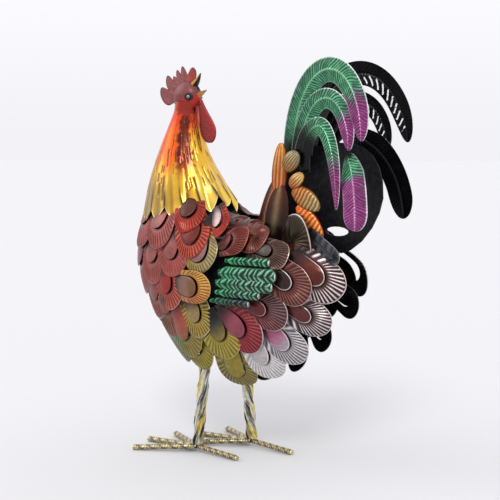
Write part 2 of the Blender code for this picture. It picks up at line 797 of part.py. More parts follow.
def build_tail_base():
    """The upright wedge at the rump that carries the tail."""
    rings = []
    steps = 5
    for i in range(steps + 1):
        share = i / steps
        front = mix(TAIL_BASE_FOOT_X, TAIL_BASE_CREST_X, share**0.6)
        half = 0.5 * mix(TAIL_BASE_FOOT_WIDTH, TAIL_BASE_CREST_WIDTH, share**0.7)
        ring = []
        for along, across in ((0.0, 0.35), (0.2, 1.0), (0.6, 0.9), (1.0, 0.3),
                              (1.0, -0.3), (0.6, -0.9), (0.2, -1.0), (0.0, -0.35)):
            x = mix(front, TAIL_BASE_BACK_X, along)
            y = half * across
            foot = shell_height(x, y, True) + 0.0012
            ring.append(Vector((x, y, mix(foot, TAIL_BASE_TOP_Z, share))))
        rings.append(ring)
    points, faces = loft(rings)
    make_object("tail_base", points, faces, "dark", 40)


def build_tail_plate():
    """The upright plate behind the wedge, with the gap through it above the rump."""
    start = TAIL_BASE_BACK_X + FIT_GAP
    middle_x = mix(start, TAIL_PLATE_BACK_X, 0.52)
    middle_z = mix(TAIL_PLATE_LOW_Z, TAIL_PLATE_TOP_Z, 0.53)
    half_x = TAIL_PLATE_BACK_X - middle_x
    outline = []
    for i in range(16):
        turn = math.radians(112.0 - 250.0 * i / 15)
        drop = TAIL_PLATE_TOP_Z - middle_z if math.sin(turn) > 0 else middle_z - TAIL_PLATE_LOW_Z
        power = 0.85 if math.sin(turn) > 0 else 1.25
        outline.append(Vector((middle_x + half_x * math.copysign(abs(math.cos(turn)) ** power, math.cos(turn)),
                               0.0, middle_z + drop * math.copysign(abs(math.sin(turn)) ** power, math.sin(turn)))))
    outline.append(Vector((TAIL_PLATE_NECK_X, 0.0, TAIL_PLATE_NECK_Z)))
    outline.append(Vector((TAIL_PLATE_FOOT_X, 0.0, shell_height(TAIL_PLATE_FOOT_X, 0.0, True) + TAIL_PLATE_SEAT)))
    outline.append(Vector((start, 0.0, shell_height(start, 0.0, True) + TAIL_PLATE_SEAT)))
    outline.append(Vector((start, 0.0, TAIL_BASE_TOP_Z)))
    half = TAIL_PLATE_THICKNESS / 2
    points, faces = loft([[p + Vector((0.0, -half, 0.0)) for p in outline],
                          [p + Vector((0.0, half, 0.0)) for p in outline]])
    plate = make_object("tail_plate", points, faces, "dark", 30)
    rings = []
    for y in (-0.01, 0.01):
        ring = []
        for j in range(14):
            turn = 2 * math.pi * j / 14
            ring.append(Vector((TAIL_PLATE_GAP_X + TAIL_PLATE_GAP_LENGTH / 2 * math.cos(turn), y,
                                TAIL_PLATE_GAP_Z + TAIL_PLATE_GAP_HEIGHT / 2 * math.sin(turn))))
        rings.append(ring)
    points, faces = loft(rings)
    cutter = make_object("gap_cutter", points, faces, "dark")
    cutter.hide_render = True
    cutter.display_type = "WIRE"
    cut = plate.modifiers.new("gap", "BOOLEAN")
    cut.operation = "DIFFERENCE"
    cut.solver = "EXACT"
    cut.object = cutter


def sweep_point(left, crest, tip, begin, root_y, tip_y, splay, share):
    """Middle line of a sickle: a quarter arc up to its crest, then one down to its tip."""
    quarter = mix(begin, 2.0, share)
    turn = 0.5 * math.pi * (quarter if quarter < 1.0 else quarter - 1.0)
    if quarter < 1.0:
        x = crest[0] - (crest[0] - left[0]) * math.cos(turn)
        z = left[1] + (crest[1] - left[1]) * math.sin(turn)
    else:
        x = crest[0] + (tip[0] - crest[0]) * math.sin(turn)
        z = tip[1] + (crest[1] - tip[1]) * math.cos(turn)
    return Vector((x, mix(root_y, tip_y, 1.0 - (1.0 - share) ** splay), z))


def build_sickle(name, side, left, crest, tip, begin, root_y, tip_y, root_width, tip_width,
                 splay=SICKLE_SPLAY, pointed_root=False):
    """A long curved feather plate with a raised rib down its outer face."""
    rings = []
    for i in range(SICKLE_STEPS + 1):
        share = i / SICKLE_STEPS
        here = sweep_point(left, crest, tip, begin, root_y, tip_y, splay, share)
        ahead = sweep_point(left, crest, tip, begin, root_y, tip_y, splay, min(1.0, share + 0.02))
        ahead -= sweep_point(left, crest, tip, begin, root_y, tip_y, splay, max(0.0, share - 0.02))
        ahead.y = 0.0
        ahead.normalize()
        out = Vector((-ahead.z, 0.0, ahead.x))
        width = 0.5 * mix(root_width, tip_width, share)
        if share > 0.8:
            width *= math.sqrt(max(0.03, 1.0 - ((share - 0.8) / 0.2) ** 2))
        elif pointed_root:
            width *= math.sqrt(min(1.0, 0.08 + share / 0.35))
        half = SICKLE_THICKNESS / 2
        section = [(-width, -half), (width, -half), (width, half), (0.0, half + SICKLE_RIB), (-width, half)]
        ring = []
        for offset, height in section:
            p = here + out * offset + Vector((0.0, height, 0.0))
            ring.append(Vector((p.x, side * p.y, p.z)))
        rings.append(ring)
    points, faces = loft(rings)
    make_object(f"{name}_{side_name(side)}", points, faces, "green", 30)


def build_sickles(side):
    """Four sickles a side, from the tall outer one to the short low one, which is longer on the right."""
    far = side > 0
    build_sickle("sickle_a", side, left=(SICKLE_A_LEFT_X, SICKLE_A_LEFT_Z),
                 crest=(SICKLE_A_CREST_X, SICKLE_A_CREST_Z),
                 tip=(SICKLE_A_TIP_X, SICKLE_A_TIP_Z), begin=SICKLE_A_BEGIN,
                 root_y=SICKLE_A_ROOT_Y, tip_y=RIGHT_SICKLE_A_TIP_Y if far else SICKLE_A_TIP_Y,
                 root_width=SICKLE_A_ROOT_WIDTH, tip_width=SICKLE_A_TIP_WIDTH,
                 splay=RIGHT_SICKLE_A_SPLAY if far else SICKLE_SPLAY)
    build_sickle("sickle_b", side, left=(SICKLE_B_LEFT_X, SICKLE_B_LEFT_Z),
                 crest=(SICKLE_B_CREST_X, SICKLE_B_CREST_Z),
                 tip=(SICKLE_B_TIP_X, SICKLE_B_TIP_Z), begin=SICKLE_B_BEGIN,
                 root_y=SICKLE_B_ROOT_Y, tip_y=SICKLE_B_TIP_Y,
                 root_width=SICKLE_B_ROOT_WIDTH, tip_width=SICKLE_B_TIP_WIDTH)
    build_sickle("sickle_c", side, left=(SICKLE_C_LEFT_X, SICKLE_C_LEFT_Z),
                 crest=(SICKLE_C_CREST_X, SICKLE_C_CREST_Z),
                 tip=(SICKLE_C_TIP_X, SICKLE_C_TIP_Z), begin=SICKLE_C_BEGIN,
                 root_y=SICKLE_C_ROOT_Y, tip_y=SICKLE_C_TIP_Y,
                 root_width=SICKLE_C_ROOT_WIDTH, tip_width=SICKLE_C_TIP_WIDTH)
    if far:
        build_sickle("sickle_d", side, left=(RIGHT_SICKLE_D_LEFT_X, RIGHT_SICKLE_D_LEFT_Z),
                     crest=(RIGHT_SICKLE_D_CREST_X, RIGHT_SICKLE_D_CREST_Z),
                     tip=(RIGHT_SICKLE_D_TIP_X, RIGHT_SICKLE_D_TIP_Z), begin=RIGHT_SICKLE_D_BEGIN,
                     root_y=RIGHT_SICKLE_D_ROOT_Y, tip_y=RIGHT_SICKLE_D_TIP_Y,
                     root_width=RIGHT_SICKLE_D_ROOT_WIDTH, tip_width=RIGHT_SICKLE_D_TIP_WIDTH,
                     pointed_root=True)
    else:
        build_sickle("sickle_d", side, left=(SICKLE_D_LEFT_X, SICKLE_D_LEFT_Z),
                     crest=(SICKLE_D_CREST_X, SICKLE_D_CREST_Z),
                     tip=(SICKLE_D_TIP_X, SICKLE_D_TIP_Z), begin=SICKLE_D_BEGIN,
                     root_y=SICKLE_D_ROOT_Y, tip_y=SICKLE_D_TIP_Y,
                     root_width=SICKLE_D_ROOT_WIDTH, tip_width=SICKLE_D_TIP_WIDTH,
                     pointed_root=True)


def build_leaf(name, side, root, tip, half_width, across):
    """A lens-shaped leaf feather from its root to its tip, at its own distance from the middle plane."""
    start = Vector((root[0], side * across, root[1]))
    end = Vector((tip[0], side * across, tip[1]))
    axis = (end - start).normalized()
    out = Vector((-axis.z, 0.0, axis.x))
    rings = []
    for share in (0.03, 0.22, 0.5, 0.78, 0.97):
        width = half_width * math.sin(math.pi * (0.12 + 0.83 * share)) ** 0.7
        thick = COVERT_HALF_THICKNESS * (0.5 + 0.5 * math.sin(math.pi * share))
        ring = []
        for j in range(6):
            turn = math.pi * j / 3
            ring.append(start.lerp(end, share) + out * (width * math.cos(turn))
                        + Vector((0.0, thick * math.sin(turn), 0.0)))
        rings.append(ring)
    points, faces = loft(rings)
    return make_object(name, points, faces, "gold")


def build_tail_coverts(side):
    """Small leaf feathers that lap over one another at the foot of the tail."""
    whole = build_leaf(f"tail_coverts_{side_name(side)}", side, (FOOT_LEAF_ROOT_X, FOOT_LEAF_ROOT_Z),
                       (FOOT_LEAF_TIP_X, FOOT_LEAF_TIP_Z), FOOT_LEAF_HALF_WIDTH, FOOT_LEAF_Y)
    others = (
        build_leaf(f"leaf_up_{side_name(side)}", side, (UP_LEAF_ROOT_X, UP_LEAF_ROOT_Z),
                   (UP_LEAF_TIP_X, UP_LEAF_TIP_Z), UP_LEAF_HALF_WIDTH, UP_LEAF_Y),
        build_leaf(f"leaf_high_{side_name(side)}", side, (HIGH_LEAF_ROOT_X, HIGH_LEAF_ROOT_Z),
                   (HIGH_LEAF_TIP_X, HIGH_LEAF_TIP_Z), HIGH_LEAF_HALF_WIDTH, HIGH_LEAF_Y),
        build_leaf(f"leaf_middle_{side_name(side)}", side, (MIDDLE_LEAF_ROOT_X, MIDDLE_LEAF_ROOT_Z),
                   (MIDDLE_LEAF_TIP_X, MIDDLE_LEAF_TIP_Z), MIDDLE_LEAF_HALF_WIDTH, MIDDLE_LEAF_Y),
        build_leaf(f"leaf_low_{side_name(side)}", side, (LOW_LEAF_ROOT_X, LOW_LEAF_ROOT_Z),
                   (LOW_LEAF_TIP_X, LOW_LEAF_TIP_Z), LOW_LEAF_HALF_WIDTH, LOW_LEAF_Y),
        build_leaf(f"leaf_end_{side_name(side)}", side, (END_LEAF_ROOT_X, END_LEAF_ROOT_Z),
                   (END_LEAF_TIP_X, END_LEAF_TIP_Z), END_LEAF_HALF_WIDTH, END_LEAF_Y),
    )
    for leaf in others:
        leaf.hide_render = True
        leaf.display_type = "WIRE"
        join = whole.modifiers.new(leaf.name, "BOOLEAN")
        join.operation = "UNION"
        join.solver = "EXACT"
        join.object = leaf


# Legs and toes


def build_leg(side):
    """A square bar with a slow twist, from the toes up to the underside of the body."""
    left = side < 0
    foot = Vector((LEFT_FOOT_X if left else RIGHT_FOOT_X, side * FOOT_Y, 0.0))
    top = Vector((LEFT_LEG_TOP_X if left else RIGHT_LEG_TOP_X, side * LEG_TOP_Y, 0.0))
    low = GROUND_Z + TOE_RISE + TOE_THICKNESS * math.sqrt(0.75) + FIT_GAP
    rings = []
    for i in range(LEG_STEPS + 1):
        share = i / LEG_STEPS
        middle = foot.lerp(top, share)
        ring = []
        for j in range(4):
            turn = 2 * math.pi * (j / 4 + LEG_TWIST_TURNS * share * -side)
            x = middle.x + LEG_WIDTH * math.sqrt(0.5) * math.cos(turn)
            y = middle.y + LEG_WIDTH * math.sqrt(0.5) * math.sin(turn)
            high = shell_height(x, y, False) - 0.0012
            ring.append(Vector((x, y, mix(low, high, share))))
        rings.append(ring)
    points, faces = loft(rings)
    make_object(f"leg_{side_name(side)}", points, faces, "bar", 30)


def build_toe(name, foot, angle, length):
    """A rod that arches from the leg down to a level pad at its tip."""
    turn = math.radians(angle)
    ahead = Vector((math.cos(turn), math.sin(turn), 0.0))
    aside = Vector((-ahead.y, ahead.x, 0.0))
    half = TOE_THICKNESS / 2
    narrow = TOE_START * math.tan(math.radians(TOE_SPREAD / 2)) - FIT_GAP
    full = (half + FIT_GAP) / math.tan(math.radians(TOE_SPREAD / 2))
    stations = ((TOE_START, narrow, TOE_RISE), (full, half, TOE_RISE),
                (0.5 * (full + length - TOE_PAD_LENGTH), half, 0.72 * TOE_RISE),
                (length - TOE_PAD_LENGTH, half, 0.0), (length, half, 0.0))
    rings = []
    for reach, wide, rise in stations:
        ring = []
        for j in range(6):
            around = math.pi * j / 3
            ring.append(foot + ahead * reach + aside * (wide * math.cos(around))
                        + Vector((0.0, 0.0, rise + half * math.sqrt(0.75) + half * math.sin(around))))
        rings.append(ring)
    points, faces = loft(rings)
    make_object(name, points, faces, "bar", 30)


def right_inner_toe_length():
    """Reach of the right foot's inner toe, which stops beside the left foot's inner toe."""
    spread = math.radians(TOE_SPREAD)
    across = (RIGHT_FOOT_X - LEFT_FOOT_X) * math.sin(spread) + 2 * FOOT_Y * math.cos(spread)
    corner = TOE_THICKNESS / 2 * (1.0 + math.cos(2 * spread)) + INNER_TOE_CLEARANCE
    return (across - corner) / math.sin(2 * spread)


def build_foot(side):
    left = side < 0
    foot = Vector((LEFT_FOOT_X if left else RIGHT_FOOT_X, side * FOOT_Y, GROUND_Z))
    inner_length = FRONT_TOE_LENGTH if left else right_inner_toe_length()
    build_toe(f"toe_inner_{side_name(side)}", foot, 180.0 + side * TOE_SPREAD, inner_length)
    build_toe(f"toe_middle_{side_name(side)}", foot, 180.0, FRONT_TOE_LENGTH)
    build_toe(f"toe_outer_{side_name(side)}", foot, 180.0 - side * TOE_SPREAD, FRONT_TOE_LENGTH)
    build_toe(f"toe_rear_{side_name(side)}", foot, 0.0, REAR_TOE_LENGTH)


def settle():
    """Moves the whole so that it stands on the ground with the middle of its box over the origin."""
    low = Vector((1e9, 1e9, 1e9))
    high = -low
    things = [thing for thing in bpy.context.scene.objects if not thing.hide_render]
    for thing in things:
        for vertex in thing.data.vertices:
            low = Vector(map(min, low, vertex.co))
            high = Vector(map(max, high, vertex.co))
    shift = Vector((-(low.x + high.x) / 2, -(low.y + high.y) / 2, -low.z))
    for thing in bpy.context.scene.objects:
        for vertex in thing.data.vertices:
            vertex.co += shift


start_scene()
build_shell()
build_neck()
build_head()
build_comb()
build_beak("beak_upper", UPPER_BEAK_ANGLE, 4.0, UPPER_BEAK_REACH, UPPER_BEAK_RADIUS, 0.0010)
build_beak("beak_lower", LOWER_BEAK_ANGLE, 5.0, LOWER_BEAK_REACH, LOWER_BEAK_RADIUS, -0.0006)
build_wattle()
build_tail_base()
build_tail_plate()
for side in (-1, 1):
    build_feathers(side)
    build_eye(side)
    build_sickles(side)
    build_tail_coverts(side)
    build_leg(side)
    build_foot(side)
settle()
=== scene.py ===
"""The painted look of a standing rooster of stamped sheet metal. Lengths are in metres, colours are 0 to 255."""

import math

import bpy
import numpy as np
from mathutils import Matrix, Vector


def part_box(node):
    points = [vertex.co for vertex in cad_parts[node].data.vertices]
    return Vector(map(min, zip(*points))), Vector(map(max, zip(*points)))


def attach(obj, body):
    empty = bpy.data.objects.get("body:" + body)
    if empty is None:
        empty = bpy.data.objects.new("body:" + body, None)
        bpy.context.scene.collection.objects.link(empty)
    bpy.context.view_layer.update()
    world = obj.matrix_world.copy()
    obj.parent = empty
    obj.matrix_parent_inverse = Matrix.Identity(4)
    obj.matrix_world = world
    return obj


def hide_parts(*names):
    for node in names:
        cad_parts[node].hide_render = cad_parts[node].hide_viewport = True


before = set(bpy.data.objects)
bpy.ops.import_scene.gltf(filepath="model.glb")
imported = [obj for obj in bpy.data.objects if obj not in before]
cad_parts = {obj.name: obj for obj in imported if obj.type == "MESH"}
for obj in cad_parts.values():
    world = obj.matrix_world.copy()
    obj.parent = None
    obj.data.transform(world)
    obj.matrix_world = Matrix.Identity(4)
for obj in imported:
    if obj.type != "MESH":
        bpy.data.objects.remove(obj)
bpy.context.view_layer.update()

# Where the origin of the numbers below lies in the shared frame
SHIFT = np.array([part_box("tail_base")[1][0] - 0.033, 0.0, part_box("toe_middle_left")[0][2] + 0.0055])

RANDOM = np.random.default_rng(11)
BLACK = (9, 9, 12)
INNER_FACE = (14, 14, 18)
UP = np.array([0.0, 0.0, 1.0])
LEFT = np.array([0.0, -1.0, 0.0])
SHEET = 0.0008  # How thick the feathers are
BODY_X, BODY_Z, BODY_HALF_WIDTH = -0.070, 0.235, 0.057
HEAD_X, HEAD_Z = -0.140, 0.447


# Small helpers


def linear(colour):
    """A linear colour from one of 0 to 255 as the eye sees it."""
    share = np.asarray(colour, float) / 255.0
    return np.where(share <= 0.04045, share / 12.92, ((share + 0.055) / 1.055) ** 2.4)


def mix(a, b, share):
    """The colour that lies the given share of the way from a to b, at every point."""
    a, b = np.asarray(a, float), np.asarray(b, float)
    return a + (b - a) * np.asarray(share, float)[..., None]


def ease(value, start=0.0, end=1.0):
    value = np.clip((np.asarray(value, float) - start) / (end - start), 0.0, 1.0)
    return value * value * (3.0 - 2.0 * value)


def unit(v):
    return v / np.maximum(np.linalg.norm(v, axis=-1, keepdims=True), 1e-12)


def new_object(name, data):
    thing = bpy.data.objects.new(name, data)
    bpy.context.scene.collection.objects.link(thing)
    return thing


# The body's form, the same as the solid's


def outline_share(x, z):
    dx, dz = x - BODY_X, z - BODY_Z
    along = np.abs(dx / np.where(dx < 0, 0.135, 0.189))
    power = np.where(dx < 0, 1.5, 2.0)
    below = (along**power + np.abs(np.minimum(dz, 0) / 0.147) ** power) ** (1 / power)
    shoulder = ease((-0.050 - x) / 0.060)
    power = 2.0 + 1.2 * shoulder
    above = (along**power + (np.maximum(dz, 0) / (0.060 + 0.032 * shoulder)) ** power) ** (1 / power)
    return np.where(dz < 0, below, above)


def body_value(p):
    return outline_share(p[..., 0], p[..., 2]) ** 2.4 + np.abs(p[..., 1] / BODY_HALF_WIDTH) ** 2.2 - 1.0


def body_normal(p):
    d = 0.0005
    slope = [body_value(p + d * axis) - body_value(p - d * axis) for axis in np.eye(3)]
    return unit(np.stack(slope, axis=-1))


def onto_body(p):
    d = 0.0005
    for _ in range(6):
        normal = body_normal(p)
        slope = (body_value(p + d * normal) - body_value(p - d * normal)) / (2 * d)
        slope = np.where(np.abs(slope) < 1e-6, 1e-6, slope)
        move = np.clip(body_value(p) / slope, -0.02, 0.02)
        p = p - move[..., None] * normal
    return p


def flank_point(x, z):
    share = min(0.999, float(outline_share(np.float64(x), np.float64(z))))
    width = (1.0 - share**2.4) ** (1.0 / 2.2)
    return onto_body(np.array([x, -BODY_HALF_WIDTH * width, z]))


def heading_at(degrees):
    turn = math.radians(degrees)
    return np.array([math.cos(turn), 0.0, math.sin(turn)])


def body_patch(tip, heading, length):
    """A map from (across, along) about a feather's tip onto the body's form; along is below 0 towards the root."""
    count = 14
    stations = [tip]
    for _ in range(count):
        normal = body_normal(stations[-1])
        along = unit(heading - heading.dot(normal) * normal)
        stations.append(onto_body(stations[-1] - along * (length / count)))
    stations = np.array(stations[::-1])
    marks = -length + length * np.arange(count + 1) / count

    def place(across, along):
        shape = np.broadcast(across, along).shape
        across = np.broadcast_to(across, shape)
        along = np.broadcast_to(along, shape)
        p = np.stack([np.interp(along, marks, stations[:, i]) for i in range(3)], axis=-1)
        for _ in range(2):
            normal = body_normal(p)
            ahead = unit(heading - (normal @ heading)[..., None] * normal)
            p = onto_body(p + np.cross(normal, ahead) * (0.5 * across)[..., None])
        return p, body_normal(p)

    return place


def flat_patch(tip, degrees, lean, curve=3.0):
    """Like body_patch, but onto an upright plate that leans out towards its tip and bends across."""
    ahead = unit(heading_at(degrees) + np.array([0.0, -lean, 0.0]))
    normal = unit(np.cross(ahead, np.array([-ahead[2], 0.0, ahead[0]])))
    side = np.cross(normal, ahead)

    def place(across, along):
        across, along = np.broadcast_arrays(across, along)
        p = tip + ahead * along[..., None] + side * across[..., None] - normal * (curve * across**2)[..., None]
        return p, unit(normal + side * (2.0 * curve * across)[..., None])

    return place


# Meshes whose every point has its own paint


def quads(index):
    """The corners of each square in a grid of numbered points."""
    return np.stack([index[:-1, :-1], index[:-1, 1:], index[1:, 1:], index[1:, :-1]], axis=-1)


class Piece:
    """Sheets and grids gathered into one mesh."""

    def __init__(self):
        self.points, self.colours, self.faces = [], [], []
        self.count = 0

    def add(self, points, colours, faces):
        self.points.append(points.reshape(-1, 3))
        self.colours.append(colours.reshape(-1, 3))
        self.faces.append(faces.reshape(-1, 4) + self.count)
        self.count += len(self.points[-1])

    def grid(self, points, colours, closed=False):
        """A grid of points, closed round its second direction or open."""
        rows, cols = points.shape[:2]
        index = np.arange(rows * cols).reshape(rows, cols)
        if closed:
            index = np.concatenate([index, index[:, :1]], axis=1)
        self.add(points, np.broadcast_to(np.asarray(colours, float), points.shape), quads(index))

    def tube(self, points, colours):
        self.grid(points, colours, closed=True)

    def cap(self, points, end, colour):
        """Closes a tube at its first ring of points, where end is 0, or its last, where it is -1."""
        rim = points[end]
        middle = np.broadcast_to(rim.mean(axis=0), rim.shape)
        self.tube(np.stack([rim, middle] if end else [middle, rim]), colour)

    def sheet(self, front, normals, thickness, colours, back=INNER_FACE, solid=None):
        """A sheet with a painted front and a dark back, closed round its edge; solid is False where it is cut."""
        rows, cols = front.shape[:2]
        index = np.arange(rows * cols).reshape(rows, cols)
        under = index + rows * cols
        faces = [quads(index), quads(under)[..., [0, 3, 2, 1]]]
        for a, b in ((under[0], index[0]), (index[-1], under[-1]),
                     (index[:, 0], under[:, 0]), (under[:, -1], index[:, -1])):
            faces.append(np.stack([a[:-1], a[1:], b[1:], b[:-1]], axis=-1))
        if solid is not None:
            faces[0], faces[1] = faces[0][solid], faces[1][solid]
        paint = [np.broadcast_to(np.asarray(side, float), front.shape) for side in (colours, back)]
        self.add(np.stack([front, front - normals * thickness]), np.stack(paint),
                 np.concatenate([part.reshape(-1, 4) for part in faces]))

    def mirrored(self):
        other = Piece()
        other.points = [points * np.array([1.0, -1.0, 1.0]) for points in self.points]
        other.colours = self.colours
        other.faces = [faces[:, ::-1] for faces in self.faces]
        other.count = self.count
        return other

    def make(self, name, material, node, slot, smooth=38.0):
        """The object, in place of the solid called node."""
        points = np.concatenate(self.points) + SHIFT
        points[:, 2] = np.maximum(points[:, 2], 0.0)
        mesh = bpy.data.meshes.new(name)
        mesh.from_pydata(points.tolist(), [], np.concatenate(self.faces).tolist())
        layer = mesh.color_attributes.new("paint", "FLOAT_COLOR", "POINT")
        colours = np.ones((len(points), 4))
        colours[:, :3] = linear(np.clip(np.concatenate(self.colours), 0, 255))
        layer.data.foreach_set("color", colours.astype(np.float32).ravel())
        mesh.materials.append(material)
        mesh.validate()
        mesh.shade_smooth()
        mesh.set_sharp_from_angle(angle=math.radians(smooth))
        thing = new_object(name, mesh)
        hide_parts(node)
        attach(thing, "root")


# Materials


def fill(node, **values):
    """Sets a node's inputs by their names, with _ for a blank."""
    for name, value in values.items():
        node.inputs[name.replace("_", " ")].default_value = value
    return node


def new_material(name):
    material = bpy.data.materials.new(name)
    material.use_nodes = True
    return material, material.node_tree, material.node_tree.nodes["Principled BSDF"]


def noise(tree, **values):
    place = tree.nodes.new("ShaderNodeTexCoord")
    grain = fill(tree.nodes.new("ShaderNodeTexNoise"), **values)
    tree.links.new(place.outputs["Object"], grain.inputs["Vector"])
    return grain.outputs["Fac"]


def in_range(tree, value, low, high, new_low, new_high):
    scaled = fill(tree.nodes.new("ShaderNodeMapRange"), From_Min=low, From_Max=high, To_Min=new_low, To_Max=new_high)
    tree.links.new(value, scaled.inputs["Value"])
    return scaled.outputs["Result"]


def relief(tree, shader, height, **values):
    bump = fill(tree.nodes.new("ShaderNodeBump"), **values)
    tree.links.new(height, bump.inputs["Height"])
    tree.links.new(bump.outputs["Normal"], shader.inputs["Normal"])


def ramp(tree, value, target, *stops):
    """Colours a target by a value, between two stops of (position, colour)."""
    colours = tree.nodes.new("ShaderNodeValToRGB")
    for element, (position, colour) in zip(colours.color_ramp.elements, stops):
        element.position, element.color = position, (*colour, 1.0)
    tree.links.new(value, colours.inputs["Fac"])
    tree.links.new(colours.outputs["Color"], target)


def painted(name, metallic, roughness, coat, speckle, bump, scale=260.0, tone=1.0):
    """Paint from the points' own colours, worn and speckled a little, over metal."""
    material, tree, shader = new_material(name)
    nodes, link = tree.nodes, tree.links.new
    fill(shader, Metallic=metallic, Coat_Weight=coat, Coat_Roughness=0.12, Specular_IOR_Level=0.3)
    fine = noise(tree, Scale=scale, Detail=5.0, Roughness=0.65)
    broad = noise(tree, Scale=55.0, Detail=3.0)
    both = nodes.new("ShaderNodeMath")
    both.operation = "MULTIPLY"
    link(in_range(tree, fine, 0.30, 0.70, tone * (1.0 - speckle), tone * (1.0 + speckle)), both.inputs[0])
    link(in_range(tree, broad, 0.35, 0.65, 1.0 - 0.6 * speckle, 1.0 + 0.4 * speckle), both.inputs[1])
    colour = nodes.new("ShaderNodeAttribute")
    colour.attribute_name = "paint"
    shade = nodes.new("ShaderNodeVectorMath")
    shade.operation = "SCALE"
    link(colour.outputs["Color"], shade.inputs[0])
    link(both.outputs["Value"], shade.inputs["Scale"])
    link(shade.outputs["Vector"], shader.inputs["Base Color"])
    rough = in_range(tree, broad, 0.3, 0.7, roughness * 0.75, min(1.0, roughness * 1.3))
    link(rough, shader.inputs["Roughness"])
    relief(tree, shader, fine, Strength=0.5, Distance=bump)
    return material


FEATHER_PAINT = painted("feather_paint", 0.55, 0.36, 0.12, 0.20, 0.0002)
NECK_PAINT = painted("neck_lacquer", 0.92, 0.26, 0.35, 0.06, 0.0001, 120.0)
SKIN_PAINT = painted("skin_paint", 0.10, 0.42, 0.10, 0.22, 0.0006, 420.0, tone=0.62)
GREEN_PAINT = painted("green_paint", 0.60, 0.34, 0.15, 0.24, 0.0002, tone=0.85)
BAR_PAINT = painted("bar_paint", 0.75, 0.34, 0.20, 0.22, 0.0003)
BRIGHT_PAINT = painted("bright_bead", 1.0, 0.12, 0.0, 0.03, 0.0001)


# Stamped feathers

RIDGES = 25  # Pressed rays in a feather
RAY_DEPTH = 0.0009
TILT = 0.0007  # How far a feather's lower half stands off
SLOT = 0.0007  # Width of the slot round the tongue
CURL = 0.0022  # Rise of the tongue at its tip
DIM = 0.83
WHITE_EDGE = (228, 216, 214)
PINK_EDGE = (205, 165, 160)
WHITE = dict(shine=1.0, line=4.0, tongue_edge=WHITE_EDGE)

# What a feather has where its own values don't say otherwise; far is what differs on the right side
# The colour on the crests of a feather's rays is a painted highlight; the colour in their grooves, with dark for its
# strength, is a painted shade
USUAL = dict(groove=(24, 10, 10), low=None, tongue_tip=None, tongue_edge=None, ring=1.05, narrow=0.50, oval=1.18,
             long=1.0, line=3.0, strength=0.7, dark=0.55, shine=0.84, lean=None, plain=False, open=False, far={})


def feather(tip, degrees, half, base, ridge_highlight, edge, tongue=None, **more):
    """A feather's tip, direction and half width, its colours, and what isn't as in USUAL."""
    colours = {"base": base, "ridge_highlight": ridge_highlight, "edge": edge, "tongue": tongue}
    return {**USUAL, **colours, "at": (tip, degrees, half), **more}


def rim_curve(a, half, radius, length, tip, taper):
    """A U from root to root round its tip: a runs -1 to 1. Returns (across, along)."""
    bend = 0.66
    side = np.abs(a)
    turn = 0.5 * np.pi * np.minimum(side / bend, 1.0)
    straight = np.clip((side - bend) / (1.0 - bend), 0.0, 1.0)
    across = half * np.sin(turn) ** 0.92 * (1.0 - taper * straight**1.5)
    along = tip - radius + radius * np.cos(turn) - (length + tip - radius) * straight
    return np.sign(a) * across, along


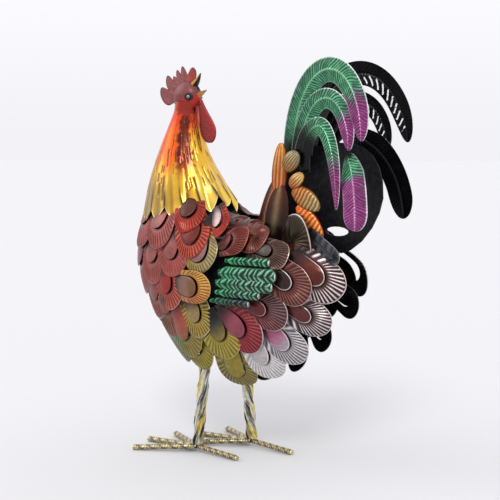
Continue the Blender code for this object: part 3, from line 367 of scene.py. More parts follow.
def plume(piece, place, height, half, length, look):
    """One rounded feather: a plate with stamped rays, a U-shaped slot and the raised tongue inside it.

    height(across, along) is the plate's height over the body, half its half width.
    """
    a = np.linspace(-1.0, 1.0, 4 * RIDGES + 1)[:, None]
    r = np.concatenate([np.linspace(0.0, 0.9, 8), [0.95, 0.98, 1.0]])[None, :]
    tongue = half * (0.02 if look["plain"] else look["narrow"])
    slot_tip = -look["ring"] * half
    c0, s0 = rim_curve(a, tongue, 1.3 * tongue, length, slot_tip, 0.25)
    c1, s1 = rim_curve(a, half, look["oval"] * half, length, 0.0, 0.12)
    across, along = c0 + (c1 - c0) * r, s0 + (s1 - s0) * r
    wave = 0.5 + 0.5 * np.cos(np.pi * RIDGES * a)
    spread = ease(r, 0.10, 0.32) * (1.0 - ease(r, 0.90, 0.98))
    rise = height(across, along) - TILT * across / half + RAY_DEPTH * (wave - 0.5) * spread
    rise = rise - 0.0007 * ease(r, 0.86, 1.0) + 0.00035 * np.exp(-(((r - 0.95) / 0.02) ** 2))
    rise = rise - 0.0005 * (1.0 - ease(r, 0.0, 0.12))
    shade = DIM * np.asarray(look["base"], float)
    if look["low"]:
        shade = mix(shade, DIM * np.array(look["low"]), ease(-a, -0.2, 0.8))
    ridge_highlight, edge = look["shine"] * np.array(look["ridge_highlight"]), look["shine"] * np.array(look["edge"])
    # Painted highlight on the crests of the stamped rays, and painted shade in the grooves between them
    shade = mix(shade, ridge_highlight, wave ** look["line"] * spread * look["strength"])
    shade = mix(shade, look["groove"], (1.0 - wave) ** 3.0 * spread * look["dark"])
    # Black round the slot: partly the tongue's own black outline, partly painted shadow in the slot
    if not look["plain"]:
        shade = mix(shade, BLACK, 1.0 - ease(r, 0.05, 0.11))
    shade = mix(shade, edge, ease(r, 0.955, 0.975))
    # Painted shade towards the root, under the row above
    shade = mix(shade, BLACK, 0.75 * ease(-along, 0.62 * length, length))
    p, n = place(across, along)
    piece.sheet(p + n * rise[..., None], n, SHEET, shade)
    if look["plain"] or look["open"]:
        return
    # The tongue inside the slot
    a = np.linspace(-1.0, 1.0, 37)[:, None]
    r = np.array([0.0, 0.3, 0.55, 0.75, 0.9, 1.0])[None, :]
    c1, s1 = rim_curve(a, tongue - SLOT, 1.3 * tongue, length, slot_tip - SLOT, 0.25)
    spine = np.minimum(s1, slot_tip - 1.3 * tongue)
    across, along = c1 * r, spine + (s1 - spine) * r
    rise = height(across, along) - TILT * across / half + 0.0004
    rise = rise + CURL * ease(along, slot_tip - 1.6 * half, slot_tip) ** 1.6 - 0.0004 * ease(r, 0.85, 1.0)
    rise = rise + 0.0013 * (1.0 - r**2) * ease(-along, -slot_tip, -slot_tip + 0.6 * half)
    to_tip = ease(along, slot_tip - 1.1 * half, slot_tip)
    shade = DIM * mix(look["tongue"], look["tongue_tip"] or look["tongue"], to_tip)
    if look["tongue_edge"]:
        shade = mix(shade, look["tongue_edge"], ease(r, 0.90, 0.98))
    # Painted shade towards the root, under the row above
    shade = mix(shade, BLACK, 0.75 * ease(-along, 0.62 * length, length))
    p, n = place(across, along)
    piece.sheet(p + n * rise[..., None], n, SHEET, shade)


def row(name, slot, length, lift, flare, root_lift=None, feathers=()):
    """A row of feathers on both sides of the bird; each is raised over the one before, or as its own raised says."""
    root_lift = lift if root_lift is None else root_lift
    for side in ("left", "right"):
        piece = Piece()
        for number, look in enumerate(feathers):
            if side == "right":
                if look["far"] is None:
                    continue
                look = {**look, **look["far"]}
            tip, degrees, half = look["at"]
            long = length * look["long"]
            if look["lean"] is None:
                place = body_patch(onto_body(np.array(tip)), heading_at(degrees), long)
            else:
                place = flat_patch(np.array(tip), degrees, look["lean"])

            def height(across, along, half=half, long=long, raised=look.get("raised", 0.0005 * number),
                       lift=look.get("lift", lift)):
                v = np.clip(1.0 + along / long, 0.0, 1.0)
                bow = 0.0016 * v * (1.0 - np.minimum(np.abs(across / half), 1.0) ** 2)
                return 0.0024 + raised * v + root_lift + (lift - root_lift) * ease(v, 0.0, 0.65) + flare * v + bow

            plume(piece, place, height, half, long, look)
        if side == "right":
            piece = piece.mirrored()
        piece.make(f"feathers_{name}_{side}", FEATHER_PAINT, f"{name}_{side}", slot)


def build_rows():
    row("skirt_outer", "olive_feathers", 0.074, 0.0, 0.0022, feathers=(
        feather((-0.0904, -0.0274, 0.1071), 262, 0.028, (168, 146, 52), (205, 190, 92), (196, 186, 110),
            (150, 130, 55), ring=0.82, narrow=0.47, groove=(60, 66, 30), strength=0.6),
        feather((-0.0336, -0.0144, 0.0938), 274, 0.027, (150, 134, 70), (200, 188, 132), (205, 198, 150),
            (168, 150, 62), ring=0.69, narrow=0.5, groove=(62, 56, 30), strength=0.6, dark=0.7),
        feather((0.0171, -0.0183, 0.1104), 290, 0.0247, (232, 228, 226), (252, 250, 250), (232, 230, 230),
            (206, 200, 200), ring=0.96, narrow=0.47, far=dict(at=((0.013, -0.0183, 0.111), 290, 0.017)),
            groove=(126, 120, 118), **WHITE),
        feather((0.0589, -0.0209, 0.1372), 314, 0.0233, (184, 176, 180), (246, 242, 244), (222, 218, 220),
            (190, 100, 136), ring=0.98, narrow=0.52, far=dict(at=((0.048, -0.0209, 0.144), 312, 0.017)),
            groove=(40, 36, 38), tongue_tip=(200, 194, 198), dark=0.8, **WHITE),
        feather((0.0933, -0.0218, 0.1777), 332, 0.0211, (104, 74, 76), (250, 244, 246), WHITE_EDGE, (104, 50, 48),
            ring=1.07, narrow=0.47, far=dict(at=((0.0913, -0.0218, 0.19), 336, 0.018)), groove=(30, 20, 22),
            strength=0.9, dark=0.8, **WHITE),
        feather((0.1066, -0.0222, 0.2137), 326, 0.025, (88, 50, 46), (250, 240, 240), WHITE_EDGE, (104, 40, 28),
            ring=0.94, narrow=0.48, far=dict(at=((0.1066, -0.0222, 0.2137), 326, 0.023), open=True),
            groove=(28, 16, 16), strength=0.95, dark=0.8, **WHITE),
    ))
    row("breast_row_4", "olive_feathers", 0.058, 0.0026, 0.0034, feathers=(
        feather((-0.115193, -0.020451, 0.1148), 270.8, 0.03596, (120, 120, 78), (150, 158, 110), (120, 130, 90),
            (96, 110, 70)),
        feather((-0.116, -0.0405, 0.148), 286, 0.029, (150, 76, 60), (176, 120, 84), (120, 130, 90), (160, 74, 62),
            low=(90, 104, 66)),
        feather((-0.0864, -0.0403, 0.1267), 292, 0.031, (150, 134, 54), (196, 150, 92), (176, 160, 96), (176, 76, 60),
            ring=0.72, narrow=0.44, long=1.3, low=(74, 130, 84), groove=(50, 52, 30), tongue_tip=(160, 96, 72)),
    ))
    row("skirt_inner", "crimson_feathers", 0.07, 0.0026, 0.0046, feathers=(
        feather((-0.066, -0.0503, 0.1538), 293, 0.0243, (172, 146, 56), (206, 186, 104), (236, 226, 206),
            (150, 116, 78), ring=0.77, narrow=0.42, long=0.74, tongue_tip=(168, 140, 96)),
        feather((-0.0249, -0.0429, 0.1341), 301, 0.0302, (168, 146, 54), (210, 196, 96), (196, 186, 120), (26, 28, 40),
            ring=0.76, narrow=0.42, long=0.9, groove=(66, 58, 24), tongue_tip=(150, 132, 66)),
        feather((0.0161, -0.0429, 0.1517), 328, 0.0262, (150, 38, 46), (196, 104, 104), WHITE_EDGE, (160, 76, 92),
            ring=0.92, narrow=0.49, groove=(48, 12, 18)),
        feather((0.0526, -0.0428, 0.1863), 345, 0.0221, (96, 56, 58), (178, 146, 144), WHITE_EDGE, (104, 40, 42),
            ring=1.2, narrow=0.42, low=(120, 30, 40), groove=(36, 20, 22), tongue_edge=PINK_EDGE),
        feather((0.0786, -0.0382, 0.2128), 333, 0.0229, (106, 48, 40), (176, 124, 114), (216, 180, 172), (58, 36, 34),
            ring=1.0, narrow=0.46, groove=(36, 16, 14), tongue_edge=WHITE_EDGE),
        feather((0.0745, -0.031, 0.282), 18, 0.0305, (58, 48, 34), (128, 108, 66), WHITE_EDGE, lean=0.25,
            far=dict(at=((0.066, -0.036, 0.26), 2, 0.0235)), oval=0.85, plain=True, raised=-0.004, low=(108, 46, 30),
            groove=(40, 26, 20), strength=0.45, dark=0.5),
    ))
    row("breast_row_3", "red_feathers", 0.058, 0.0015, 0.0034, feathers=(
        feather((-0.163425, -0.0004, 0.152), 268, 0.026929, (158, 88, 82), (188, 120, 108), (200, 160, 150),
            (150, 84, 80), long=1.4),
        feather((-0.148498, -0.035738, 0.167), 272, 0.022947, (158, 86, 80), (196, 124, 112), (220, 190, 184),
            (152, 84, 80)),
        feather((-0.114, -0.0506, 0.1825), 291, 0.028, (176, 66, 54), (220, 142, 112), (226, 170, 150), (162, 52, 44),
            ring=0.75, narrow=0.43, groove=(60, 20, 14)),
    ))
    row("breast_row_2", "red_feathers", 0.058, 0.0015, 0.0034, feathers=(
        feather((-0.184098, -0.021794, 0.194286), 268.571429, 0.034574, (160, 84, 80), (188, 116, 106),
            (176, 116, 108), (152, 86, 82), long=1.5),
        feather((-0.152167, -0.046046, 0.210857), 271.714286, 0.025048, (176, 88, 80), (196, 118, 104),
            (190, 120, 110), (170, 92, 86), strength=0.4, dark=0.25),
        feather((-0.1065, -0.0556, 0.2243), 286, 0.0274, (178, 82, 74), (196, 112, 98), (190, 104, 92), (164, 92, 86),
            ring=0.76, narrow=0.45, strength=0.35, dark=0.2),
        feather((-0.0723, -0.0564, 0.2491), 297, 0.0238, (172, 48, 34), (226, 120, 86), (170, 50, 36), (120, 40, 30),
            ring=0.68, narrow=0.54, raised=0.0036, groove=(70, 14, 8), strength=0.9),
    ))
    row("breast_row_1", "red_feathers", 0.056, 0.003, 0.0034, feathers=(
        feather((-0.204948, -0.0004, 0.246), 267, 0.019674, (158, 84, 80), (190, 116, 104), (176, 110, 104),
            (160, 96, 92), long=1.2),
        feather((-0.179758, -0.036988, 0.2535), 275.75, 0.026901, (160, 82, 78), (190, 112, 102), (176, 110, 104),
            (160, 94, 90)),
        feather((-0.1317, -0.0525, 0.2568), 291, 0.0257, (166, 80, 76), (200, 116, 102), (180, 100, 92), (166, 98, 92),
            ring=0.95, narrow=0.59, strength=0.6),
        feather((-0.0889, -0.0516, 0.2766), 288, 0.0192, (150, 26, 14), (196, 76, 50), (190, 50, 34), (96, 46, 36),
            ring=0.95, narrow=0.5, groove=(70, 8, 6), strength=0.9),
        feather((-0.04, -0.045, 0.2744), 308, 0.0172, (172, 32, 16), (212, 90, 62), (196, 60, 44), (218, 190, 186),
            lean=0.35, ring=0.8, narrow=0.5, oval=1.1, long=0.78,
            far=dict(at=((-0.0369, -0.0452, 0.2746), 306, 0.0184), lean=None), groove=(90, 14, 8), strength=0.8),
    ))
    row("back_row", "brown_feathers", 0.056, 0.0054, 0.004, feathers=(
        feather((0.0536, -0.044, 0.2509), 348, 0.0152, (86, 56, 48), (150, 116, 104), (212, 190, 182), (98, 86, 80),
            ring=1.45, narrow=0.44, groove=(30, 18, 16)),
        feather((0.022, -0.042462, 0.268), 352, 0.018245, (120, 58, 44), (140, 84, 66), (150, 96, 80), plain=True,
            strength=0.2, dark=0.2),
        feather((0.111, -0.027, 0.2505), 325, 0.0098, (66, 66, 70), (130, 130, 134), (150, 150, 152), lean=0.1,
            oval=1.6, plain=True, raised=-0.006, groove=(20, 20, 22), strength=0.5, far=None),
        feather((0.0051, -0.0328, 0.2825), 12, 0.017, (84, 34, 28), (150, 80, 66), (196, 140, 126), plain=True,
            raised=-0.004, strength=0.3, dark=0.2),
        feather((-0.0214, -0.0295, 0.2864), 354, 0.019, (92, 34, 28), (150, 80, 66), (196, 140, 126), plain=True,
            raised=-0.006, strength=0.3, dark=0.2),
    ))
    row("wing_coverts", "gold_feathers", 0.054, 0.0125, 0.003, 0.0, feathers=(
        feather((-0.0425, -0.0565, 0.2149), 1, 0.0196, (212, 148, 50), (238, 186, 92), (236, 190, 110), (142, 96, 66),
            ring=1.05, narrow=0.66, oval=1.5, raised=0.0, long=1.45, groove=(70, 34, 12), low=(206, 110, 66), dark=0.8,
            strength=0.5),
        feather((-0.0555, -0.0569, 0.2348), 306, 0.025, (184, 158, 104), (204, 196, 152), (206, 198, 150),
            (158, 120, 118), ring=0.53, narrow=0.65, oval=0.8, long=1.1, lift=0.0032, raised=-0.001,
            low=(206, 160, 70), groove=(66, 54, 32), dark=0.7, strength=0.5),
        feather((0.0026, -0.0464, 0.2669), 8, 0.0145, (114, 40, 30), (180, 88, 66), (190, 104, 86), (112, 38, 32),
            ring=1.49, narrow=0.54, groove=(44, 14, 10)),
    ))


# Wing bars


def build_wing():
    piece = Piece()
    pitch = 0.0068
    # Each bar: x, z, length, half width, base colour, colour of the painted highlight on its chevrons, and that
    # highlight's strength
    bars = ((0.010, 0.2010, 0.056, 0.0044, (46, 60, 58), (130, 140, 140), 0.6),
            (0.024, 0.2113, 0.062, 0.0052, (40, 108, 76), (176, 216, 196), 0.8),
            (0.040, 0.2220, 0.078, 0.0072, (42, 118, 80), (190, 224, 206), 0.9),
            (0.044, 0.2335, 0.078, 0.0076, (42, 120, 80), (190, 224, 206), 0.9),
            (0.036, 0.2460, 0.060, 0.0040, (36, 116, 72), (150, 214, 178), 0.8))
    for number, (x, z, length, half, base, light, strength) in enumerate(bars):
        place = body_patch(flank_point(x, z), heading_at(0.0), length)
        along = np.linspace(-length, 0.0, 150)[:, None]
        u = np.linspace(-1.0, 1.0, 13)[None, :]
        end = np.sqrt(np.clip(1.0 - ((along + half) / half) ** 2, 0.0, 1.0))
        start = ease(along, -length, -length + 0.012)
        across = u * half * np.where(along > -half, np.maximum(end, 0.02), 1.0) * (0.55 + 0.45 * start)
        phase = (along - 0.85 * np.abs(across)) / pitch
        phase = phase + 0.16 * np.sin(along * 210 + 2.1 * number) + 0.10 * np.sin(along * 530 + u)
        wave = 0.5 + 0.5 * np.cos(2 * np.pi * phase)
        edge = ease(np.abs(u), 0.80, 1.0)
        height = 0.0148 + 0.004 * ease(along, -length, 0.0) + 0.0020 * (1.0 - u**2)
        height = height + 0.0011 * (wave - 0.5) * (1.0 - edge) - 0.0010 * edge
        # Brighter green towards the bar's root end, with less contrast in the chevrons there
        near_root = 1.0 - ease(along, -length, -0.4 * length)
        shade = mix(base, (36, 168, 96), 0.8 * near_root)
        # Painted highlight on the crests of the chevrons, and painted shade in the troughs between them
        shade = mix(shade, light, wave**6 * strength * (1.0 - 0.3 * edge) * (1.0 - 0.5 * near_root))
        shade = mix(shade, (8, 24, 18), (1.0 - wave) ** 1.5 * 0.9 * (1.0 - edge))
        shade = mix(shade, (10, 30, 20), 0.6 * np.exp(-((u / 0.10) ** 2)))
        shade = mix(shade, (214, 226, 220), ease(along, -0.0022, -0.0008))
        p, n = place(across, along)
        piece.sheet(p + n * height[..., None], n, 0.0010, shade)
    piece.make("wing_bars_paint_left", GREEN_PAINT, "wing_bars_left", "green_feathers")
    piece.mirrored().make("wing_bars_paint_right", GREEN_PAINT, "wing_bars_right", "green_feathers")


# Neck


def neck_ring(share):
    z = 0.430 + (0.309 - 0.430) * share
    x = -0.1415 + 0.0045 * share - 0.009 * np.sin(np.pi * share)
    spread = np.maximum(share, 0.0) ** 1.18
    return x, z, 0.0165 + (0.068 - 0.0165) * spread, 0.0165 + (0.050 - 0.0165) * spread


def build_neck():
    piece = Piece()
    turns, levels = 352, 124
    turn = 2 * np.pi * np.arange(turns)[None, :] / turns
    share = np.linspace(-0.09, 1.0, levels)[:, None]
    points = 16
    lobe = np.abs(2.0 * ((turn * points / (2 * np.pi)) % 1.0) - 1.0)
    drop = 0.0150 * (1.0 - lobe**1.5)
    x, z, half_length, half_width = neck_ring(share)
    hem = ease(share, 0.74, 1.0)
    flute = np.cos(turn * 2 * points + np.pi)
    swell = 1.0 + 0.014 * ease(share, 0.3, 1.0) * (0.5 + 0.5 * flute) + 0.03 * hem * (1.0 - lobe)
    dash = np.zeros((levels, turns))
    for _ in range(190):
        at = RANDOM.uniform(0, turns)
        low = RANDOM.uniform(0.05, 0.86)
        long = RANDOM.uniform(0.035, 0.075)
        wide = RANDOM.uniform(0.9, 1.5)
        away = np.abs((np.arange(turns) - at + turns / 2) % turns - turns / 2)[None, :]
        body = np.clip((long - np.abs(share - low)) / 0.012, 0.0, 1.0)
        dash = np.maximum(dash, body * np.exp(-((away / wide) ** 2)))
    swell = swell - 0.016 * dash
    tilt = 0.008 * np.cos(turn) * share
    cut = 0.009 * np.exp(-(((turn - math.radians(17)) / math.radians(15)) ** 2))
    p = np.stack([x + half_length * swell * np.cos(turn), -half_width * swell * np.sin(turn),
                  z + tilt - (drop - cut) * hem], axis=-1)
    top, orange, gold, cream = (208, 58, 20), (228, 92, 18), (214, 164, 44), (220, 196, 100)
    colour = mix(top, orange, ease(share, 0.02, 0.30))
    wander = 0.08 * np.sin(3.0 * turn + 0.6) + 0.05 * np.sin(11.0 * turn)
    wander = wander + 0.26 * ease(np.cos(turn - math.radians(-5)), 0.55, 0.80)
    colour = mix(colour, gold, ease(share + wander, 0.42, 0.66))
    colour = mix(colour, cream, 0.55 * ease(share + wander, 0.86, 1.1))
    aside = ease(-np.cos(turn - math.radians(-5)), -0.45, 0.3)
    colour = mix(colour, (146, 120, 56), 0.75 * aside * ease(share, 0.55, 0.85))
    # Painted shade in the valleys of the flutes on the lower neck
    ridge = 0.5 + 0.5 * flute
    colour = mix(colour, (120, 84, 24), 0.45 * (1.0 - ridge) ** 2 * ease(share, 0.45, 0.9))
    # Two ragged dark brown streaks down the neck: a painted reflection in the glossy metal, broken by the dashes
    for middle, wide, start, end in ((math.radians(53), 0.30, 0.06, 0.54), (math.radians(225), 0.22, 0.05, 0.5)):
        away = np.abs((turn - middle + np.pi) % (2 * np.pi) - np.pi)
        rag = 0.10 * np.sin(37.0 * share) * np.sin(5.0 * share) + 0.05 * np.sin(90.0 * share)
        streak = 1.0 - ease(away + rag * wide * 2, 0.6 * wide, 1.25 * wide)
        streak = streak * ease(share, start - 0.04, start + 0.03) * (1.0 - ease(share, end - 0.05, end + 0.25))
        colour = mix(colour, (70, 18, 6), 0.95 * streak * (1.0 - 0.8 * dash))
    colour = mix(colour, (92, 40, 10), 0.85 * dash * (1.0 - ease(colour[..., 0], 190, 120)))
    slit = ease(lobe, 0.86, 0.97) * ease(share, 0.80, 0.92)
    colour = mix(colour, (16, 10, 8), slit)
    colour = mix(colour, (240, 226, 160), ease(share, 0.985, 1.0) * (1.0 - slit))
    low_edge = 0.050 - 0.15 * ease(-np.cos(turn), 0.35, 0.95) + 0.008 * np.sin(9 * turn)
    collar = 1.0 - ease(share, low_edge - 0.012, low_edge)
    colour = mix(colour, mix((150, 44, 34), (196, 84, 30), ease(-np.cos(turn), -0.15, 0.5)), collar)
    inner = p.copy()
    inner[..., 0] = x + (p[..., 0] - x) * 0.975
    inner[..., 1] = p[..., 1] * 0.975
    few = np.r_[0:levels - 1:4, levels - 1]
    piece.tube(p, colour)
    piece.tube(inner[few][::-1], (20, 16, 12))
    piece.tube(np.stack([p[-1], inner[-1]]), colour[-1])
    piece.tube(np.stack([inner[0], p[0]]), (60, 20, 14))
    piece.make("neck_lacquered", NECK_PAINT, "neck_hackle", "neck_lacquer")


# Head


def head_point(degrees, reach):
    turn = np.radians(degrees)
    return HEAD_X + reach * np.cos(turn), HEAD_Z + reach * np.sin(turn)


def build_head():
    piece = Piece()
    rows, cols = 60, 90
    lean = np.pi * np.linspace(0.0005, 0.9995, rows)[:, None]
    x, z = head_point(360.0 * np.arange(cols)[None, :] / cols, 0.0208 * np.sin(lean))
    z = np.maximum(z, 0.4303)
    p = np.stack([x, 0.0148 * np.cos(lean) + 0 * x, z], axis=-1)
    cheek = ease(x - (z - HEAD_Z), -0.142, -0.126) * ease(0.452 - z, 0.0, 0.006)
    shade = mix((136, 62, 58), (206, 44, 28), cheek)
    brow = ease(z, 0.449, 0.453) * ease(-x, 0.128, 0.140)
    shade = mix(shade, (150, 78, 80), np.maximum(brow, ease(-x, 0.146, 0.156)))
    from_eye = np.sqrt((x + 0.1285) ** 2 + (z - HEAD_Z) ** 2)
    shade = mix(shade, (40, 26, 24), 1.0 - ease(from_eye, 0.0042, 0.0062))
    piece.tube(p, shade)
    piece.make("head_skin", SKIN_PAINT, "head", "comb_red", 60)


def build_comb():
    """Six lobes, each a run of (degrees, reach) about the head's middle between two hollows."""
    lobes = (
        ((62, 25.0), (61, 30.0), (65, 35.0), (71, 38.2), (77, 39.0), (82, 37.0), (86, 32.5), (89, 29.0)),
        ((90, 28.6), (92.5, 31.5), (95.5, 35.5), (99, 39.2), (102.5, 41.3), (106, 39.4), (109, 35.0), (111, 30.8)),
        ((111.5, 30.4), (111.8, 33.5), (112.8, 37.0), (116, 40.0), (120, 39.0), (123, 35.6), (125.3, 31.8)),
        ((126, 31.2), (127, 34.0), (129.5, 36.8), (133, 36.6), (136, 34.4), (137.5, 32.0)),
        ((138, 31.8), (137.0, 37.0), (137.2, 42.0), (139.5, 45.5), (144, 45.2), (150, 43.0), (156, 39.6),
         (160.5, 35.6)),
        ((161.5, 35.0), (160.5, 41.0), (161.0, 45.5), (163, 47.8), (168, 48.4), (176, 46.6), (184, 43.0),
         (191, 38.8), (196, 33.0), (195, 26.0), (188, 22.5)),
    )
    base, lean, edge = [], [], []
    for lobe in lobes:
        angles, reaches = np.array(lobe).T
        s = np.linspace(0.0, len(lobe) - 1.0, 8 * len(lobe), endpoint=False)
        k = np.clip(s.astype(int), 0, len(lobe) - 2)
        f = s - k
        padded = [np.concatenate([[2 * v[0] - v[1]], v, [2 * v[-1] - v[-2]]]) for v in (angles, reaches)]
        at, reach = (0.5 * (2 * v[k + 1] + (v[k + 2] - v[k]) * f
                            + (2 * v[k] - 5 * v[k + 1] + 4 * v[k + 2] - v[k + 3]) * f**2
                            + (3 * v[k + 1] - 3 * v[k + 2] + v[k + 3] - v[k]) * f**3) for v in padded)
        base.append(angles[0] + (angles[-1] - angles[0]) * s / (len(lobe) - 1.0))
        lean.append(at - base[-1])
        edge.append(0.001 * reach)
    base, lean, edge = (np.concatenate(part)[:, None] for part in (base, lean, edge))
    ends = np.linspace(-1.0, 1.0, len(base))[:, None]
    r = np.linspace(0.0, 1.0, 14)[None, :]
    reach = 0.0190 + (edge - 0.0190) * r
    x, z = head_point(base + lean * r, reach)
    thick = (0.0017 + 0.0013 * (1.0 - ease(r, 0.0, 0.5))) * np.sqrt(np.clip(1.0 - r**4, 0.0, 1.0))
    thick = thick * np.sqrt(1.0 - ends**16)
    thick = thick * (1.0 + 0.10 * np.sin(900.0 * reach) * np.sin(np.radians(base) * 26))
    shade = mix((144, 74, 74), (160, 86, 84), ease(r, 0.1, 0.6))
    shade = mix(shade, (176, 60, 54), 0.8 * (1.0 - ease(base, 74, 104)))
    shade = mix(shade, (66, 28, 32), 0.8 * ease(r, 0.84, 1.0))
    piece = Piece()
    for side in (-1, 1):
        p = np.stack([x, side * thick, z], axis=-1)
        piece.grid(p if side > 0 else p[::-1], shade if side > 0 else shade[::-1])
    piece.make("comb_painted", SKIN_PAINT, "comb", "comb_red", 50)


def horn(piece, root, tip, radius, bend, colour, mouth_side):
    """A beak half: a horn from its round root to its tip, black on the side of the mouth."""
    inner = (16, 16, 22)
    root, tip = (np.array([x, 0.0, z]) for x, z in (root, tip))
    axis = unit(tip - root)
    upright = np.cross(-LEFT, axis)
    share = np.linspace(0.0, 1.0, 22)[:, None]
    turn = 2 * np.pi * np.arange(28)[None, :] / 28
    size = (1.0 - share) ** 0.75 * 0.96 + 0.04
    flat = np.sin(turn) * mouth_side
    squash = np.where(flat > 0.0, 0.35, 1.0)
    p = root + (tip - root) * share[..., None] + upright * (bend * np.sin(np.pi * share))[..., None]
    p = p - LEFT * (0.85 * radius * size * np.cos(turn))[..., None]
    p = p + upright * (radius * size * np.sin(turn) * squash)[..., None]
    shade = mix(colour, inner, ease(flat, 0.10, 0.35))
    shade = mix(shade, (236, 190, 90), 0.5 * ease(-flat, 0.4, 1.0))
    shade = mix(shade, (60, 40, 30), 0.7 * ease(share, 0.85, 1.0))
    piece.tube(p, shade)
    piece.cap(p, -1, inner)


def build_beak():
    piece = Piece()
    horn(piece, head_point(50, 0.0180), head_point(54, 0.0375), 0.0070, 0.0010, (206, 140, 50), 1)
    piece.make("beak_top", SKIN_PAINT, "beak_upper", "beak_yellow", 60)
    piece = Piece()
    horn(piece, head_point(9, 0.0170), head_point(15, 0.0330), 0.0060, -0.0006, (206, 128, 60), -1)
    # The dark gape between the halves
    lean = np.pi * np.linspace(0.001, 0.999, 16)[:, None]
    turn = 2 * np.pi * np.arange(24)[None, :] / 24
    x, z = head_point(30, 0.0172)
    ball = np.stack([x + 0.0044 * np.sin(lean) * np.cos(turn), 0.0040 * np.cos(lean) + 0 * turn,
                     z + 0.0062 * np.sin(lean) * np.sin(turn)], axis=-1)
    piece.tube(ball, mix((206, 136, 48), (22, 20, 26), ease(np.sin(turn) * np.sin(lean), -0.2, 0.1)))
    piece.make("beak_bottom", SKIN_PAINT, "beak_lower", "beak_yellow", 60)


def build_wattle():
    piece = Piece()
    top, bottom = np.array([-0.1190, 0.0, 0.4420]), np.array([-0.1010, 0.0, 0.3890])
    axis = unit(bottom - top)
    out = np.array([-axis[2], 0.0, axis[0]])
    share = np.linspace(0.0, 1.0, 70)[:, None]
    u = np.linspace(-1.0, 1.0, 30)[None, :]
    blunt = np.sqrt(np.clip(1.0 - (np.maximum(share - 0.70, 0.0) / 0.30) ** 2, 0.001, 1.0))
    width = (0.0038 + 0.0088 * ease(share, 0.0, 0.74)) * blunt
    pebble = 0.00035 * np.sin(share * 95 + 3 * np.sin(u * 9)) * np.sin(u * 26 + 4 * np.sin(share * 21))
    for side in (-1, 1):
        thick = 0.0004 + 0.0017 * np.sqrt(np.clip(1.0 - u**4, 0.0, 1.0)) * ease(share, -0.05, 0.15)
        thick = thick + pebble * (1.0 - u**2)
        p = top + (bottom - top) * share[..., None] + out * (u * width)[..., None]
        p = p + LEFT * (-side * thick)[..., None]
        shade = mix((148, 42, 40), (176, 36, 34), ease(u, -0.4, 0.9))
        shade = mix(shade, (96, 34, 36), 0.8 * ease(-u, 0.3, 1.0))
        shade = mix(shade, (206, 96, 92), 0.35 * (pebble > 0.00018))
        piece.grid(p if side < 0 else p[::-1], shade if side < 0 else shade[::-1])
    piece.make("wattle_painted", SKIN_PAINT, "wattle", "comb_red", 60)


def build_eyes():
    radius, tall, sunk = 0.0029, 0.0026, 0.0012
    lean = np.linspace(0.02, 1.0, 14)[:, None] * 0.5 * np.pi
    turn = 2 * np.pi * np.arange(28)[None, :] / 28
    shade = mix((128, 130, 136), (20, 20, 22), ease(lean + 0 * turn, 0.75, 1.05))
    for name, side in (("left", -1), ("right", 1)):
        low, high = (np.array(corner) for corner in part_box(f"eye_{name}"))
        out = unit(np.array([0.0115 / 0.0205**2, side * 0.0120 / 0.0145**2, 0.0]))
        level = np.array([-out[1], out[0], 0.0])
        p = 0.5 * (low + high) - SHIFT + out * (tall * np.cos(lean) - sunk + 0 * turn)[..., None]
        p = p + level * (radius * np.sin(lean) * np.cos(turn))[..., None]
        p = p + UP * (radius * np.sin(lean) * np.sin(turn))[..., None]
        piece = Piece()
        piece.tube(p if side < 0 else p[:, ::-1], shade if side < 0 else shade[:, ::-1])
        piece.make(f"eye_bead_{name}", BRIGHT_PAINT, f"eye_{name}", "eye_silver", 60)


# Tail


def sweep(shape, share):
    """The middle line of a tail feather, up from its left end over its crest and down to its tip."""
    left, crest, tip = (np.array(shape[name]) for name in ("left", "crest", "tip"))
    root_y, tip_y = shape["sides"]
    quarter = shape["begin"] + (2.0 - shape["begin"]) * share
    early = quarter < 1.0
    turn = 0.5 * np.pi * np.where(early, quarter, quarter - 1.0)
    x = np.where(early, crest[0] - (crest[0] - left[0]) * np.cos(turn), crest[0] + (tip[0] - crest[0]) * np.sin(turn))
    z = np.where(early, left[1] + (crest[1] - left[1]) * np.sin(turn), tip[1] + (crest[1] - tip[1]) * np.cos(turn))
    y = root_y + (tip_y - root_y) * (1.0 - np.clip(1.0 - share, 0.0, 1.0) ** shape.get("splay", 1.6))
    return np.stack([x, -y, z], axis=-1)


